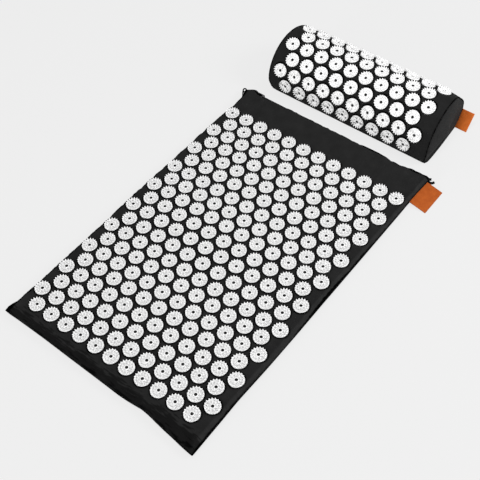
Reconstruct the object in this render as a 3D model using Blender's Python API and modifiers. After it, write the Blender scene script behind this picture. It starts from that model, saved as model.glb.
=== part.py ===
"""Acupressure mat with its matching neck pillow, in metres, +Z up.

The origin is the middle of the mat's underside. X runs along the short edge and Y towards the
short edge with the zip. Both cloths carry staggered rows of moulded discs with a crown of spikes.
The pillow stands by itself behind the mat, its length parallel to the mat's short edge.
"""
import math

import bmesh
import bpy
from mathutils import Matrix, Vector

# Cloth and general clearances
CLOTH = 0.0008
GAP = 0.0003
OVERRUN = 0.002
FAINT = 0.00001
ROUND_SHARE = 0.5

# Spiked discs and their staggered field, the same on the mat and the pillow
SPIKES = 7
DISC_RADIUS = 0.01475
DISC_SPACE = 0.0050
ROW_SHARE = 0.845
DISC_PITCH = 2.0 * DISC_RADIUS + DISC_SPACE
ROW_PITCH = ROW_SHARE * DISC_PITCH
DISC_SPIKE = 0.0044
DISC_VALLEY = 0.0018
DISC_DISH = 0.0010
DISC_SINK = 0.0004

# Mat
MAT_LENGTH = 0.680
MAT_WIDTH = 0.422
MAT_THICKNESS = 0.0200
SEAM_HEIGHT = 0.0086
SIDE_SHOULDER = 0.0060
FRONT_SHOULDER = 0.0240
BACK_SHOULDER = 0.0120
UNDER_SHOULDER = 0.0080
BACK_MARGIN = 0.0815
CORNER_FLARE = 0.0030
FLARE_POWER = 6
LONG_STEPS = 12
SHORT_STEPS = 8
TOP_LEVELS = 4
UNDER_LEVELS = 3
RIM_LAND = 0.0012
CORE_EASE = 0.0008
CORE_MOUTH_SHARE = 0.4

# Zip chain, shared by the mat and the pillow
ZIP_OPENING = 0.0100
ZIP_OVERLAP = 0.0010
ZIP_MOUTH = 0.0120
TAPE = 0.0005
COIL_RADIUS = 0.0012
COIL_SPACE = 0.0011
COIL_HEIGHT = COIL_RADIUS + COIL_SPACE / 2.0
TAPE_REACH = ZIP_OPENING / 2.0 + ZIP_OVERLAP
COIL_SIDES = 8

# Zip slider and pull
SLIDER_LENGTH = 0.0120
SLIDER_WIDTH = 0.0086
SLIDER_TAIL_WIDTH = 0.0070
SLIDER_PLATE = 0.0012
SLIDER_ROUND = 0.0012
FLANGE = 0.0007
TAPE_SLOT = 0.0011
WEDGE_WIDTH = 0.0005
WEDGE_LENGTH = 0.0020
WEDGE_SETBACK = 0.0008
BRIDGE_LENGTH = 0.0064
BRIDGE_WIDTH = 0.0020
BRIDGE_BAND = 0.0008
PULL_PIVOT_RADIUS = 0.0005
PULL_LENGTH = 0.0220
PULL_WIDTH = 0.0060
PULL_ROUND = 0.0012
PULL_EYE_RADIUS = 0.0014
PULL_EYE_SETBACK = 0.0036
PULL_EYE_SIDES = 12
PLATE_HEIGHT = COIL_RADIUS + GAP
SLIDER_FACE = PLATE_HEIGHT + SLIDER_PLATE
PIVOT_ROOM = PULL_PIVOT_RADIUS + GAP
PIVOT_HEIGHT = SLIDER_FACE + PIVOT_ROOM
SLIDER_EASE = 0.0004

# Where the sliders rest, measured back from the ends of their chains
MAT_SLIDER_SETBACK = 0.0100
PILLOW_SLIDER_SETBACK = 0.0230

# Loose ends of the mat's zip at its two corners, measured from the ends of the chain
CHAIN_SETBACK = 0.0050
LOOP_RADIUS = 0.0040
LOOP_LEAD = 0.0120
LOOP_STEPS = 9
LOOP_TURN = math.radians(285.0)
UPPER_TAIL_REACH = 0.0085
UPPER_TAIL_RISE = 0.0021
UPPER_TAIL_SWING = 0.0028
LOWER_TAIL_REACH = 0.0125
LOWER_TAIL_DROP = 0.0022
LOWER_TAIL_SWING = 0.0062
UPPER_TAIL_SHARES = ((0.0, 0.0, 0.0), (0.42, 0.38, 0.20), (0.76, 0.78, 0.65), (1.0, 1.0, 1.0))
LOWER_TAIL_SHARES = ((0.0, 0.0, 0.0), (0.35, 0.20, 0.0), (0.62, 0.55, 0.08), (0.85, 1.0, 0.48),
                     (1.0, 1.0, 1.0))

# Leather tabs
LEATHER = 0.0018
TAB_ROUND = 0.0007
MAT_TAB_WIDTH = 0.0590
MAT_TAB_REACH = 0.0345
MAT_TAB_SETBACK = 0.0060
TAB_SEAT = 0.0005
PILLOW_TAB_WIDTH = 0.0360
PILLOW_TAB_REACH = 0.0246
PILLOW_TAB_LEAN = math.radians(40.0)

# Pillow
PILLOW_X = -0.0018
PILLOW_SPACE = 0.0340
PILLOW_LENGTH = 0.3660
PILLOW_RADIUS = 0.0740
PILLOW_AXIS_HEIGHT = 0.0242
PILLOW_BACK_CUT = 0.0040
PILLOW_TOE = 0.0045
PILLOW_REAR_ROUND = 0.0280
PILLOW_REAR_LAND = 0.0050
PILLOW_REAR_STEPS = 3
PILLOW_COLUMNS = 9
PILLOW_FIELD_SHIFT = -0.0051
FIRST_ROW_ANGLE = math.radians(3.4)
LAST_ROW_LIMIT = math.radians(140.0)
PILLOW_UPRIGHT = 0.0110
END_DRAW = 0.0090
END_DRAW_HEIGHT = 0.0500
END_BULGE = 0.0030
END_BULGE_INSET = 0.0090
END_BULGE_SHARE = 0.6

# Values worked out from the sizes above
CHAIN_DEPTH = CLOTH + GAP + TAPE / 2.0
ROW_ANGLE = 2.0 * math.atan(ROW_PITCH / 2.0 / PILLOW_RADIUS)
PILLOW_ROWS = 1 + int((LAST_ROW_LIMIT - FIRST_ROW_ANGLE) / ROW_ANGLE)
PILLOW_BACK = PILLOW_RADIUS - PILLOW_BACK_CUT
EDGE_Y = MAT_LENGTH / 2.0
HALF_WIDTH = MAT_WIDTH / 2.0
CHAIN_HALF = HALF_WIDTH - CHAIN_SETBACK
PILLOW_Y = EDGE_Y + PILLOW_SPACE + PILLOW_RADIUS
PILLOW_ZIP_HEIGHT = PILLOW_REAR_ROUND + PILLOW_REAR_LAND + ZIP_OPENING / 2.0


def clear_scene():
    for item in list(bpy.data.objects):
        bpy.data.objects.remove(item)


def new_collection(name):
    collection = bpy.data.collections.new(name)
    bpy.context.scene.collection.children.link(collection)
    return collection


def material(name, colour, roughness, metallic=0.0):
    made = bpy.data.materials.get(name)
    if made:
        return made
    made = bpy.data.materials.new(name)
    made.use_nodes = True
    shader = made.node_tree.nodes["Principled BSDF"]
    shader.inputs["Base Color"].default_value = (*colour, 1.0)
    shader.inputs["Roughness"].default_value = roughness
    shader.inputs["Metallic"].default_value = metallic
    return made


def black_cloth():
    return material("black_cotton", (0.021, 0.021, 0.021), 0.92)


def white_plastic():
    return material("white_disc_plastic", (0.80, 0.80, 0.79), 0.38)


def pale_foam():
    return material("foam", (0.72, 0.70, 0.62), 0.95)


def black_tape():
    return material("zip_tape", (0.012, 0.012, 0.013), 0.80)


def dark_metal():
    return material("zip_metal", (0.05, 0.05, 0.055), 0.35, 0.9)


def brown_leather():
    return material("brown_leather", (0.50, 0.108, 0.021), 0.62)


def place(name, bm, *materials, parent=None, collection=None):
    """Turn a bmesh into a named object under a parent."""
    bmesh.ops.recalc_face_normals(bm, faces=bm.faces)
    mesh = bpy.data.meshes.new(name)
    bm.to_mesh(mesh)
    bm.free()
    for item in materials:
        mesh.materials.append(item)
    made = bpy.data.objects.new(name, mesh)
    (collection or PARTS).objects.link(made)
    made.parent = parent
    return made


def cutter(name, bm, *materials, parent=None):
    made = place(name, bm, *materials, parent=parent, collection=CUTTERS)
    made.hide_render = True
    made.display_type = "WIRE"
    return made


def empty(name, location, parent=None):
    made = bpy.data.objects.new(name, None)
    PARTS.objects.link(made)
    made.location = location
    made.parent = parent
    return made


def combine(target, tool, operation):
    change = target.modifiers.new(tool.name, "BOOLEAN")
    change.operation = operation
    change.object = tool
    change.solver = "EXACT"
    change.material_mode = "TRANSFER"


def thicken(target, thickness):
    change = target.modifiers.new("cloth", "SOLIDIFY")
    change.thickness = thickness
    change.offset = -1.0
    change.use_even_offset = True


def soften(target, width, segments=2, angle=math.radians(50.0)):
    change = target.modifiers.new("rounding", "BEVEL")
    change.width = width
    change.segments = segments
    change.limit_method = "ANGLE"
    change.angle_limit = angle


def block(low, high):
    """A box between two corners."""
    bm = bmesh.new()
    bmesh.ops.create_cube(bm, size=1.0)
    low = Vector(low)
    high = Vector(high)
    span = high - low
    bmesh.ops.scale(bm, vec=span, verts=bm.verts)
    bmesh.ops.translate(bm, vec=(low + high) / 2.0, verts=bm.verts)
    return bm


def rod(radius, sides, start, end, axis):
    """A prism of many sides along X, Y or Z, from start to end."""
    turn = {"X": Matrix.Rotation(math.pi / 2.0, 4, "Y"), "Y": Matrix.Rotation(math.pi / 2.0, 4, "X"),
            "Z": Matrix.Identity(4)}[axis]
    bm = bmesh.new()
    start = Vector(start)
    end = Vector(end)
    bmesh.ops.create_cone(bm, cap_ends=True, segments=sides, radius1=radius, radius2=radius,
                          depth=(end - start).length, matrix=Matrix.Translation((start + end) / 2.0) @ turn)
    return bm


def loft(bm, loops, close_first, close_last):
    """Join closed loops of equal count, and cap the ends that are asked for."""
    rings = [[bm.verts.new(point) for point in loop] for loop in loops]
    count = len(rings[0])
    for lower, upper in zip(rings, rings[1:]):
        for k in range(count):
            following = (k + 1) % count
            bm.faces.new((lower[k], lower[following], upper[following], upper[k]))
    caps = []
    if close_first:
        caps.append(bm.faces.new(list(reversed(rings[0]))))
    if close_last:
        caps.append(bm.faces.new(rings[-1]))
    return caps


def tube(name, points, radius, *materials, parent=None):
    """A round cord along a list of points, as a closed mesh in the cutters' collection."""
    curve = bpy.data.curves.new(name, "CURVE")
    curve.dimensions = "3D"
    curve.bevel_depth = radius
    curve.bevel_resolution = 2
    curve.use_fill_caps = True
    spline = curve.splines.new("POLY")
    spline.points.add(len(points) - 1)
    for item, point in zip(spline.points, points):
        item.co = (*point, 1.0)
    guide = bpy.data.objects.new(name + "_guide", curve)
    CUTTERS.objects.link(guide)
    evaluated = guide.evaluated_get(bpy.context.evaluated_depsgraph_get())
    mesh = bpy.data.meshes.new_from_object(evaluated)
    bpy.data.objects.remove(guide)
    bm = bmesh.new()
    bm.from_mesh(mesh)
    bmesh.ops.remove_doubles(bm, verts=bm.verts, dist=FAINT)
    return cutter(name, bm, *materials, parent=parent)


def disc_mesh():
    """One disc: a plate with a rim of spikes, low in the middle, its foot sunk in the cloth."""
    bm = bmesh.new()
    depth = DISC_SPIKE + DISC_SINK
    stand = Matrix.Translation((0.0, 0.0, depth / 2.0 - DISC_SINK)) @ Matrix.Rotation(-math.pi / 2.0, 4, "Z")
    bmesh.ops.create_cone(bm, cap_ends=True, segments=SPIKES, radius1=DISC_RADIUS, radius2=DISC_RADIUS,
                          depth=depth, matrix=stand)
    rim = [edge for edge in bm.edges if min(vert.co.z for vert in edge.verts) > 0.0]
    valleys = bmesh.ops.subdivide_edges(bm, edges=rim, cuts=1)["geom_inner"]
    for vert in valleys:
        if isinstance(vert, bmesh.types.BMVert):
            vert.co.z = DISC_VALLEY
    top = [face for face in bm.faces if min(vert.co.z for vert in face.verts) > 0.0]
    for vert in bmesh.ops.poke(bm, faces=top)["verts"]:
        vert.co = (0.0, 0.0, DISC_DISH)
    mesh = bpy.data.meshes.new("disc")
    bm.to_mesh(mesh)
    bm.free()
    return mesh


def disc_field(name, places, parent=None):
    """All the discs of one cloth, each at its own matrix."""
    disc = disc_mesh()
    bm = bmesh.new()
    for matrix in places:
        first = len(bm.verts)
        bm.from_mesh(disc)
        bm.verts.ensure_lookup_table()
        bmesh.ops.transform(bm, matrix=matrix, verts=bm.verts[first:])
    bpy.data.meshes.remove(disc)
    return cutter(name, bm, white_plastic(), parent=parent)


def mat_disc_places():
    """Staggered rows, counted from the margin at the zip, centred across the mat."""
    side_room = MAT_WIDTH - 2.0 * (SIDE_SHOULDER + DISC_RADIUS)
    long_room = MAT_LENGTH - BACK_MARGIN - FRONT_SHOULDER - DISC_RADIUS
    columns = 1 + int(side_room / DISC_PITCH)
    rows = 1 + int(long_room / ROW_PITCH)
    places = []
    for row in range(rows):
        count = columns - row % 2
        for column in range(count):
            x = (column - (count - 1) / 2.0) * DISC_PITCH
            y = EDGE_Y - BACK_MARGIN - row * ROW_PITCH
            places.append(Matrix.Translation((x, y, MAT_THICKNESS)))
    return places


def mat_outline(inset_side, inset_front, inset_back, flare):
    """Corners, sides and how open the seam is at each point, counterclockwise from the front left.

    The front corners stand out by the flare. The seam is open all along the back edge and round
    both back corners, for the zip.
    """
    right = HALF_WIDTH - inset_side
    front = -EDGE_Y + inset_front
    back = EDGE_Y - inset_back
    mouth = 1.0 - 2.0 * ZIP_MOUTH / MAT_LENGTH
    climb = [2.0 * k / LONG_STEPS - 1.0 for k in range(LONG_STEPS)] + [mouth]
    across = [2.0 * k / SHORT_STEPS - 1.0 for k in range(SHORT_STEPS)]

    def swell(share):
        return flare * max(-share, 0.0) ** FLARE_POWER

    def side(share):
        low = front - flare
        return low + (back - low) * (share + 1.0) / 2.0

    points = []
    for share in across:
        points.append(((right + flare) * share, front - flare * abs(share) ** FLARE_POWER, 0.0))
    for share in climb:
        points.append((right + swell(share), side(share), 0.0))
    for share in across:
        points.append((-right * share, back, 1.0))
    for share in [1.0] + list(reversed(climb))[:-1]:
        points.append((-right - swell(share), side(share), 1.0 if share == 1.0 else 0.0))
    return points


def rim_height(open_share, side):
    """Where a cover's rim lies: on the seam, or at the zip's edge where the seam is open."""
    reach = GAP / 2.0 + open_share * (ZIP_OPENING - GAP) / 2.0
    return SEAM_HEIGHT + side * reach


def mat_loop(level, face, side, shoulders, reaches, land=RIM_LAND, mouth=1.0):
    """One closed loop of a cover or the core: level runs from 0 at the rim to 1 at the flat."""
    angle = level * math.pi / 2.0
    insets = [shoulder - reach * math.cos(angle) for shoulder, reach in zip(shoulders, reaches)]
    flare = CORNER_FLARE * (1.0 - math.sin(angle))
    loop = []
    for x, y, open_share in mat_outline(*insets, flare):
        rim = rim_height(open_share * mouth, side) + side * land
        loop.append((x, y, rim + (face - rim) * math.sin(angle)))
    return loop


def cover_loops(levels, face, side, shoulders):
    """The rim stands upright for a short land, then the cloth rounds over to the flat."""
    rounded = [mat_loop(k / levels, face, side, shoulders, shoulders) for k in range(levels + 1)]
    return [mat_loop(0.0, face, side, shoulders, shoulders, 0.0)] + rounded


def build_mat_covers():
    tops = (SIDE_SHOULDER, FRONT_SHOULDER, BACK_SHOULDER)
    bm = bmesh.new()
    loft(bm, cover_loops(TOP_LEVELS, MAT_THICKNESS, 1.0, tops), False, True)
    upper = place("mat_top_cover", bm, black_cloth(), white_plastic())
    thicken(upper, CLOTH)
    combine(upper, disc_field("mat_discs", mat_disc_places()), "UNION")

    unders = (UNDER_SHOULDER, UNDER_SHOULDER, UNDER_SHOULDER)
    bm = bmesh.new()
    loft(bm, cover_loops(UNDER_LEVELS, 0.0, -1.0, unders), False, True)
    lower = place("mat_bottom_cover", bm, black_cloth())
    thicken(lower, CLOTH)


def build_mat_core():
    """The foam slab fills the covers and stops short of the zip."""
    ease = CLOTH + GAP + CORE_EASE
    zip_room = CHAIN_DEPTH + SLIDER_FACE + SLIDER_EASE
    tops = (SIDE_SHOULDER, FRONT_SHOULDER, BACK_SHOULDER)
    unders = (UNDER_SHOULDER, UNDER_SHOULDER, UNDER_SHOULDER)
    low = CLOTH + GAP
    high = MAT_THICKNESS - CLOTH - GAP
    loops = []
    for k in range(UNDER_LEVELS, -1, -1):
        reaches = (unders[0] - ease, unders[1] - ease, unders[2] - zip_room)
        loops.append(mat_loop(k / UNDER_LEVELS, low, -1.0, unders, reaches, mouth=CORE_MOUTH_SHARE))
    for k in range(TOP_LEVELS + 1):
        reaches = (tops[0] - ease, tops[1] - ease, tops[2] - zip_room)
        loops.append(mat_loop(k / TOP_LEVELS, high, 1.0, tops, reaches, mouth=CORE_MOUTH_SHARE))
    bm = bmesh.new()
    loft(bm, loops, True, True)
    place("mat_foam_core", bm, pale_foam())


def zip_tape(name, side, left, right, coil, parent):
    """One half of a zip: a flat tape with its coil along the free edge."""
    bm = block((-left, -TAPE / 2.0, min(side * COIL_HEIGHT, side * TAPE_REACH)),
               (right, TAPE / 2.0, max(side * COIL_HEIGHT, side * TAPE_REACH)))
    tape = place(name, bm, black_tape(), parent=parent)
    combine(tape, coil, "UNION")
    return tape


def build_mat_zip():
    """The chain along the back edge, its coil ends loose at both corners."""
    middle = (0.0, EDGE_Y - CHAIN_DEPTH - GAP, SEAM_HEIGHT)
    base = empty("mat_zip_line", middle)
    upper = []
    for step in range(LOOP_STEPS, -1, -1):
        angle = math.pi / 2.0 + LOOP_TURN * step / LOOP_STEPS
        upper.append((-CHAIN_HALF - LOOP_LEAD + LOOP_RADIUS * math.cos(angle),
                      LOOP_RADIUS * (math.sin(angle) - 1.0), COIL_HEIGHT * (1.0 - step / LOOP_STEPS)))
    upper.append((-CHAIN_HALF, 0.0, COIL_HEIGHT))
    for along, rise, swing in UPPER_TAIL_SHARES:
        upper.append((CHAIN_HALF + along * UPPER_TAIL_REACH, swing * UPPER_TAIL_SWING,
                      COIL_HEIGHT + rise * UPPER_TAIL_RISE))
    lower = [(-CHAIN_HALF - GAP, 0.0, -COIL_HEIGHT)]
    for along, drop, swing in LOWER_TAIL_SHARES:
        lower.append((CHAIN_HALF + along * LOWER_TAIL_REACH, swing * LOWER_TAIL_SWING,
                      -COIL_HEIGHT - drop * LOWER_TAIL_DROP))
    coil = tube("mat_coil_upper", upper, COIL_RADIUS, black_tape(), parent=base)
    zip_tape("mat_zip_tape_upper", 1.0, CHAIN_HALF, CHAIN_HALF, coil, base)
    coil = tube("mat_coil_lower", lower, COIL_RADIUS, black_tape(), parent=base)
    zip_tape("mat_zip_tape_lower", -1.0, CHAIN_HALF, CHAIN_HALF, coil, base)
    build_slider("mat", MAT_SLIDER_SETBACK - CHAIN_HALF, base)


def slider_plate(side):
    """A plate of the slider with its two flanges, wide at the wedge and narrow at the tail."""
    inner = side * PLATE_HEIGHT
    outer = side * SLIDER_FACE
    half = SLIDER_LENGTH / 2.0
    bm = block((-half, min(inner, outer), -SLIDER_WIDTH / 2.0), (half, max(inner, outer), SLIDER_WIDTH / 2.0))
    narrow = SLIDER_TAIL_WIDTH / SLIDER_WIDTH
    for vert in bm.verts:
        if vert.co.x > 0.0:
            vert.co.z *= narrow
    corners = [edge for edge in bm.edges if abs(edge.verts[0].co.y - edge.verts[1].co.y) > SLIDER_PLATE / 2.0]
    bmesh.ops.bevel(bm, geom=corners, offset=SLIDER_ROUND, segments=2, profile=ROUND_SHARE, affect="EDGES")
    return bm


def build_slider(prefix, rest, base):
    """Slider and pull: the wedge passes between the coils, the pull swings on the bridge."""
    home = empty(prefix + "_slider_home", (rest, 0.0, 0.0), base)
    slider = place(prefix + "_zip_slider", slider_plate(1.0), dark_metal(), parent=home)
    combine(slider, cutter(prefix + "_inner_plate", slider_plate(-1.0), dark_metal(), parent=home), "UNION")
    half = SLIDER_LENGTH / 2.0
    tail_edge = SLIDER_TAIL_WIDTH / 2.0
    front = -half + SLIDER_ROUND
    back = half - SLIDER_ROUND
    for hand in (1.0, -1.0):
        for face in (1.0, -1.0):
            z_low, z_high = sorted((hand * (tail_edge - FLANGE), hand * tail_edge))
            y_low, y_high = sorted((face * TAPE_SLOT / 2.0, face * (PLATE_HEIGHT + SLIDER_PLATE / 2.0)))
            wall = cutter("%s_flange_%d_%d" % (prefix, hand, face),
                          block((front, y_low, z_low), (back, y_high, z_high)), dark_metal(), parent=home)
            combine(slider, wall, "UNION")
    start = -half + WEDGE_SETBACK
    reach = PLATE_HEIGHT + SLIDER_PLATE / 2.0
    wedge = block((start, -reach, -WEDGE_WIDTH / 2.0), (start + WEDGE_LENGTH, reach, WEDGE_WIDTH / 2.0))
    combine(slider, cutter(prefix + "_wedge", wedge, dark_metal(), parent=home), "UNION")

    top = SLIDER_FACE + 2.0 * PIVOT_ROOM + BRIDGE_BAND
    arch = block((-BRIDGE_LENGTH / 2.0, PLATE_HEIGHT + SLIDER_PLATE / 2.0, -BRIDGE_WIDTH / 2.0),
                 (BRIDGE_LENGTH / 2.0, top, BRIDGE_WIDTH / 2.0))
    shoulders = [edge for edge in arch.edges
                 if min(vert.co.y for vert in edge.verts) > SLIDER_FACE
                 and abs(edge.verts[0].co.z - edge.verts[1].co.z) > BRIDGE_WIDTH / 2.0]
    bmesh.ops.bevel(arch, geom=shoulders, offset=BRIDGE_BAND, segments=2, profile=ROUND_SHARE, affect="EDGES")
    combine(slider, cutter(prefix + "_bridge", arch, dark_metal(), parent=home), "UNION")
    window = block((-BRIDGE_LENGTH / 2.0 + BRIDGE_BAND, SLIDER_FACE, -BRIDGE_WIDTH),
                   (BRIDGE_LENGTH / 2.0 - BRIDGE_BAND, SLIDER_FACE + 2.0 * PIVOT_ROOM, BRIDGE_WIDTH))
    combine(slider, cutter(prefix + "_bridge_window", window, dark_metal(), parent=home), "DIFFERENCE")
    build_pull(prefix, home)


def build_pull(prefix, home):
    """The pull: a pivot bar under the bridge, two arms beside it, and a tab with an eye."""
    pivot = empty(prefix + "_pull_pivot", (0.0, PIVOT_HEIGHT, 0.0), home)
    radius = PULL_PIVOT_RADIUS
    window_end = BRIDGE_LENGTH / 2.0 + GAP + radius
    half_window = BRIDGE_WIDTH / 2.0 + GAP
    half = PULL_WIDTH / 2.0
    tab = block((-radius, -radius, -half), (PULL_LENGTH, radius, half))
    corners = [edge for edge in tab.edges
               if min(vert.co.x for vert in edge.verts) > 0.0
               and abs(edge.verts[0].co.y - edge.verts[1].co.y) > radius]
    bmesh.ops.bevel(tab, geom=corners, offset=PULL_ROUND, segments=2, profile=ROUND_SHARE, affect="EDGES")
    pull = place(prefix + "_zip_pull", tab, dark_metal(), parent=pivot)
    window = block((radius, -radius - OVERRUN, -half_window), (window_end, radius + OVERRUN, half_window))
    combine(pull, cutter(prefix + "_pull_window", window, dark_metal(), parent=pivot), "DIFFERENCE")
    eye_x = PULL_LENGTH - PULL_EYE_SETBACK
    eye = rod(PULL_EYE_RADIUS, PULL_EYE_SIDES, (eye_x, -radius - OVERRUN, 0.0),
              (eye_x, radius + OVERRUN, 0.0), "Y")
    combine(pull, cutter(prefix + "_pull_eye", eye, dark_metal(), parent=pivot), "DIFFERENCE")


def leather_tab(name, reach, width, matrix):
    """A folded leather tab that starts at its sewn edge and runs along its own +X."""
    bm = block((0.0, -width / 2.0, -LEATHER / 2.0), (reach, width / 2.0, LEATHER / 2.0))
    bmesh.ops.transform(bm, matrix=matrix, verts=bm.verts)
    tab = place(name, bm, brown_leather())
    soften(tab, TAB_ROUND)
    return tab


def build_mat_tab():
    """The tab leaves the seam of the long edge and droops until it nearly touches the floor."""
    drop = SEAM_HEIGHT - LEATHER / 2.0 - GAP
    lean = math.asin(drop / MAT_TAB_REACH)
    middle = EDGE_Y - MAT_TAB_SETBACK - MAT_TAB_WIDTH / 2.0
    matrix = Matrix.Translation((HALF_WIDTH + TAB_SEAT, middle, SEAM_HEIGHT)) @ Matrix.Rotation(lean, 4, "Y")
    leather_tab("mat_label", MAT_TAB_REACH, MAT_TAB_WIDTH, matrix)


def end_reach(height):
    """How far the pillow reaches either way at a height: the ends are drawn in towards the floor."""
    low = max(1.0 - height / END_DRAW_HEIGHT, 0.0)
    return PILLOW_LENGTH / 2.0 - END_DRAW * low ** 2


def row_frame(row):
    """Middle and lean of the flat of cloth that carries one row of discs, as angle and point."""
    angle = FIRST_ROW_ANGLE + row * ROW_ANGLE
    return angle, -PILLOW_RADIUS * math.cos(angle), PILLOW_AXIS_HEIGHT + PILLOW_RADIUS * math.sin(angle)


def arc_points(inset):
    """Corners between the flats that carry the rows, from the front foot to above the zip."""
    radius = (PILLOW_RADIUS - inset) / math.cos(ROW_ANGLE / 2.0)
    points = []
    for k in range(PILLOW_ROWS + 1):
        angle = FIRST_ROW_ANGLE + (k - 0.5) * ROW_ANGLE
        points.append((-radius * math.cos(angle), PILLOW_AXIS_HEIGHT + radius * math.sin(angle)))
    return points


def toe_point(inset):
    return (-(PILLOW_RADIUS - PILLOW_TOE - inset), inset)


def upright_point(inset):
    return (PILLOW_BACK - inset, PILLOW_ZIP_HEIGHT + PILLOW_UPRIGHT)


def rear_points(inset):
    """The rounded lower rear corner, from the floor up."""
    radius = max(PILLOW_REAR_ROUND - inset, GAP)
    points = []
    for k in range(PILLOW_REAR_STEPS + 1):
        angle = k / PILLOW_REAR_STEPS * math.pi / 2.0
        points.append((PILLOW_BACK - inset - radius + radius * math.sin(angle),
                       inset + radius - radius * math.cos(angle)))
    return points


def section(inset):
    """The closed D outline, from the toe over the top to the rear and back along the floor."""
    return [toe_point(inset)] + arc_points(inset) + [upright_point(inset)] + list(reversed(rear_points(inset)))


def pillow_strip(name, line, parent, *materials):
    """A cloth panel along a line of the section, between the two end panels."""
    bm = bmesh.new()
    pairs = []
    for y, z in line:
        reach = end_reach(z) - CLOTH - GAP
        pairs.append((bm.verts.new((-reach, y, z)), bm.verts.new((reach, y, z))))
    for (left, right), (next_left, next_right) in zip(pairs, pairs[1:]):
        bm.faces.new((left, right, next_right, next_left))
    return place(name, bm, *materials, parent=parent)


def face_outwards(panel, inside):
    """Turn an open panel's faces away from a point inside the pillow."""
    bm = bmesh.new()
    bm.from_mesh(panel.data)
    wrong = [face for face in bm.faces if (face.calc_center_median() - inside).dot(face.normal) < 0.0]
    bmesh.ops.reverse_faces(bm, faces=wrong)
    bm.to_mesh(panel.data)
    bm.free()


def build_pillow_panels(parent):
    inside = Vector((0.0, 0.0, PILLOW_AXIS_HEIGHT))
    foot = (toe_point(0.0)[0], CLOTH + GAP)
    upper_rim = (PILLOW_BACK, PILLOW_ZIP_HEIGHT + ZIP_OPENING / 2.0)
    lower_rim = (PILLOW_BACK, PILLOW_ZIP_HEIGHT - ZIP_OPENING / 2.0)
    line = [foot] + arc_points(0.0) + [upright_point(0.0), upper_rim]
    cover = pillow_strip("pillow_cover", line, parent, black_cloth(), white_plastic())
    face_outwards(cover, inside)
    thicken(cover, CLOTH)
    combine(cover, disc_field("pillow_discs", pillow_disc_places(), parent), "UNION")

    base_line = [toe_point(0.0)] + rear_points(0.0) + [lower_rim]
    base = pillow_strip("pillow_base_panel", base_line, parent, black_cloth())
    face_outwards(base, inside)
    thicken(base, CLOTH)

    for name, hand in (("pillow_end_cap_left", -1.0), ("pillow_end_cap_right", 1.0)):
        loops = []
        for inset, bulge in ((0.0, 0.0), (END_BULGE_INSET, END_BULGE_SHARE)):
            loops.append([(hand * (end_reach(z) + bulge * END_BULGE), y, z) for y, z in section(inset)])
        bm = bmesh.new()
        caps = loft(bm, loops, False, True)
        for vert in bmesh.ops.poke(bm, faces=caps)["verts"]:
            vert.co.x = hand * (PILLOW_LENGTH / 2.0 + END_BULGE)
        cap = place(name, bm, black_cloth(), parent=parent)
        face_outwards(cap, inside)
        thicken(cap, CLOTH)


def pillow_disc_places():
    """Rows of nine and ten by turns, each row on its own flat of the cloth."""
    places = []
    for row in range(PILLOW_ROWS):
        angle, y, z = row_frame(row)
        count = PILLOW_COLUMNS + row % 2
        tilt = Matrix.Rotation(math.pi / 2.0 - angle, 4, "X")
        for column in range(count):
            x = (column - (count - 1) / 2.0) * DISC_PITCH + PILLOW_FIELD_SHIFT
            places.append(Matrix.Translation((x, y, z)) @ tilt)
    return places


def build_pillow_core(parent):
    """The D-shaped foam, with a channel along its back for the zip."""
    inset = CLOTH + GAP
    outline = section(inset)
    loops = []
    for hand in (-1.0, 1.0):
        loops.append([(hand * (end_reach(z) - CLOTH - GAP), y, z) for y, z in outline])
    bm = bmesh.new()
    loft(bm, loops, True, True)
    core = place("pillow_foam_core", bm, pale_foam(), parent=parent)
    depth = PILLOW_BACK - CHAIN_DEPTH - SLIDER_FACE - SLIDER_EASE
    reach = TAPE_REACH + SLIDER_EASE
    channel = block((-PILLOW_LENGTH, depth, PILLOW_ZIP_HEIGHT - reach),
                    (PILLOW_LENGTH, PILLOW_BACK + OVERRUN, PILLOW_ZIP_HEIGHT + reach))
    combine(core, cutter("pillow_zip_channel", channel, pale_foam(), parent=parent), "DIFFERENCE")


def build_pillow_zip(parent):
    base = empty("pillow_zip_line", (0.0, PILLOW_BACK - CHAIN_DEPTH, PILLOW_ZIP_HEIGHT), parent)
    half = end_reach(PILLOW_ZIP_HEIGHT - TAPE_REACH) - CLOTH - GAP
    for name, side in (("upper", 1.0), ("lower", -1.0)):
        height = side * COIL_HEIGHT
        chain = rod(COIL_RADIUS, COIL_SIDES, (-half, 0.0, height), (half, 0.0, height), "X")
        coil = cutter("pillow_coil_" + name, chain, black_tape(), parent=base)
        zip_tape("pillow_zip_tape_" + name, side, half, half, coil, base)
    build_slider("pillow", PILLOW_SLIDER_SETBACK - PILLOW_LENGTH / 2.0, base)


def build_pillow_tab():
    """The tab leaves the seam at the lower rear corner of the right end."""
    rear = rear_points(0.0)
    y = (rear[0][0] + rear[-1][0]) / 2.0
    z = (rear[0][1] + rear[-1][1]) / 2.0
    root = PILLOW_X + end_reach(z) + END_BULGE
    along = Matrix.Rotation(PILLOW_TAB_LEAN, 4, "X")
    matrix = Matrix.Translation((root, PILLOW_Y + y, z)) @ along
    leather_tab("pillow_label", PILLOW_TAB_REACH, PILLOW_TAB_WIDTH, matrix)


def build_pillow():
    parent = empty("pillow_place", (PILLOW_X, PILLOW_Y, 0.0))
    build_pillow_panels(parent)
    build_pillow_core(parent)
    build_pillow_zip(parent)
    build_pillow_tab()


clear_scene()
PARTS = new_collection("acupressure_mat_set")
CUTTERS = new_collection("cutters")
build_mat_covers()
build_mat_core()
build_mat_zip()
build_mat_tab()
build_pillow()
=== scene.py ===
"""Looks of the acupressure mat and its neck pillow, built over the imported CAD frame.

Units are metres. X runs along the mat's short edge, Y to the edge with the zip, Z up.
"""
import math
import random

import bpy
import numpy as np
from mathutils import Matrix, Vector, noise


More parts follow.
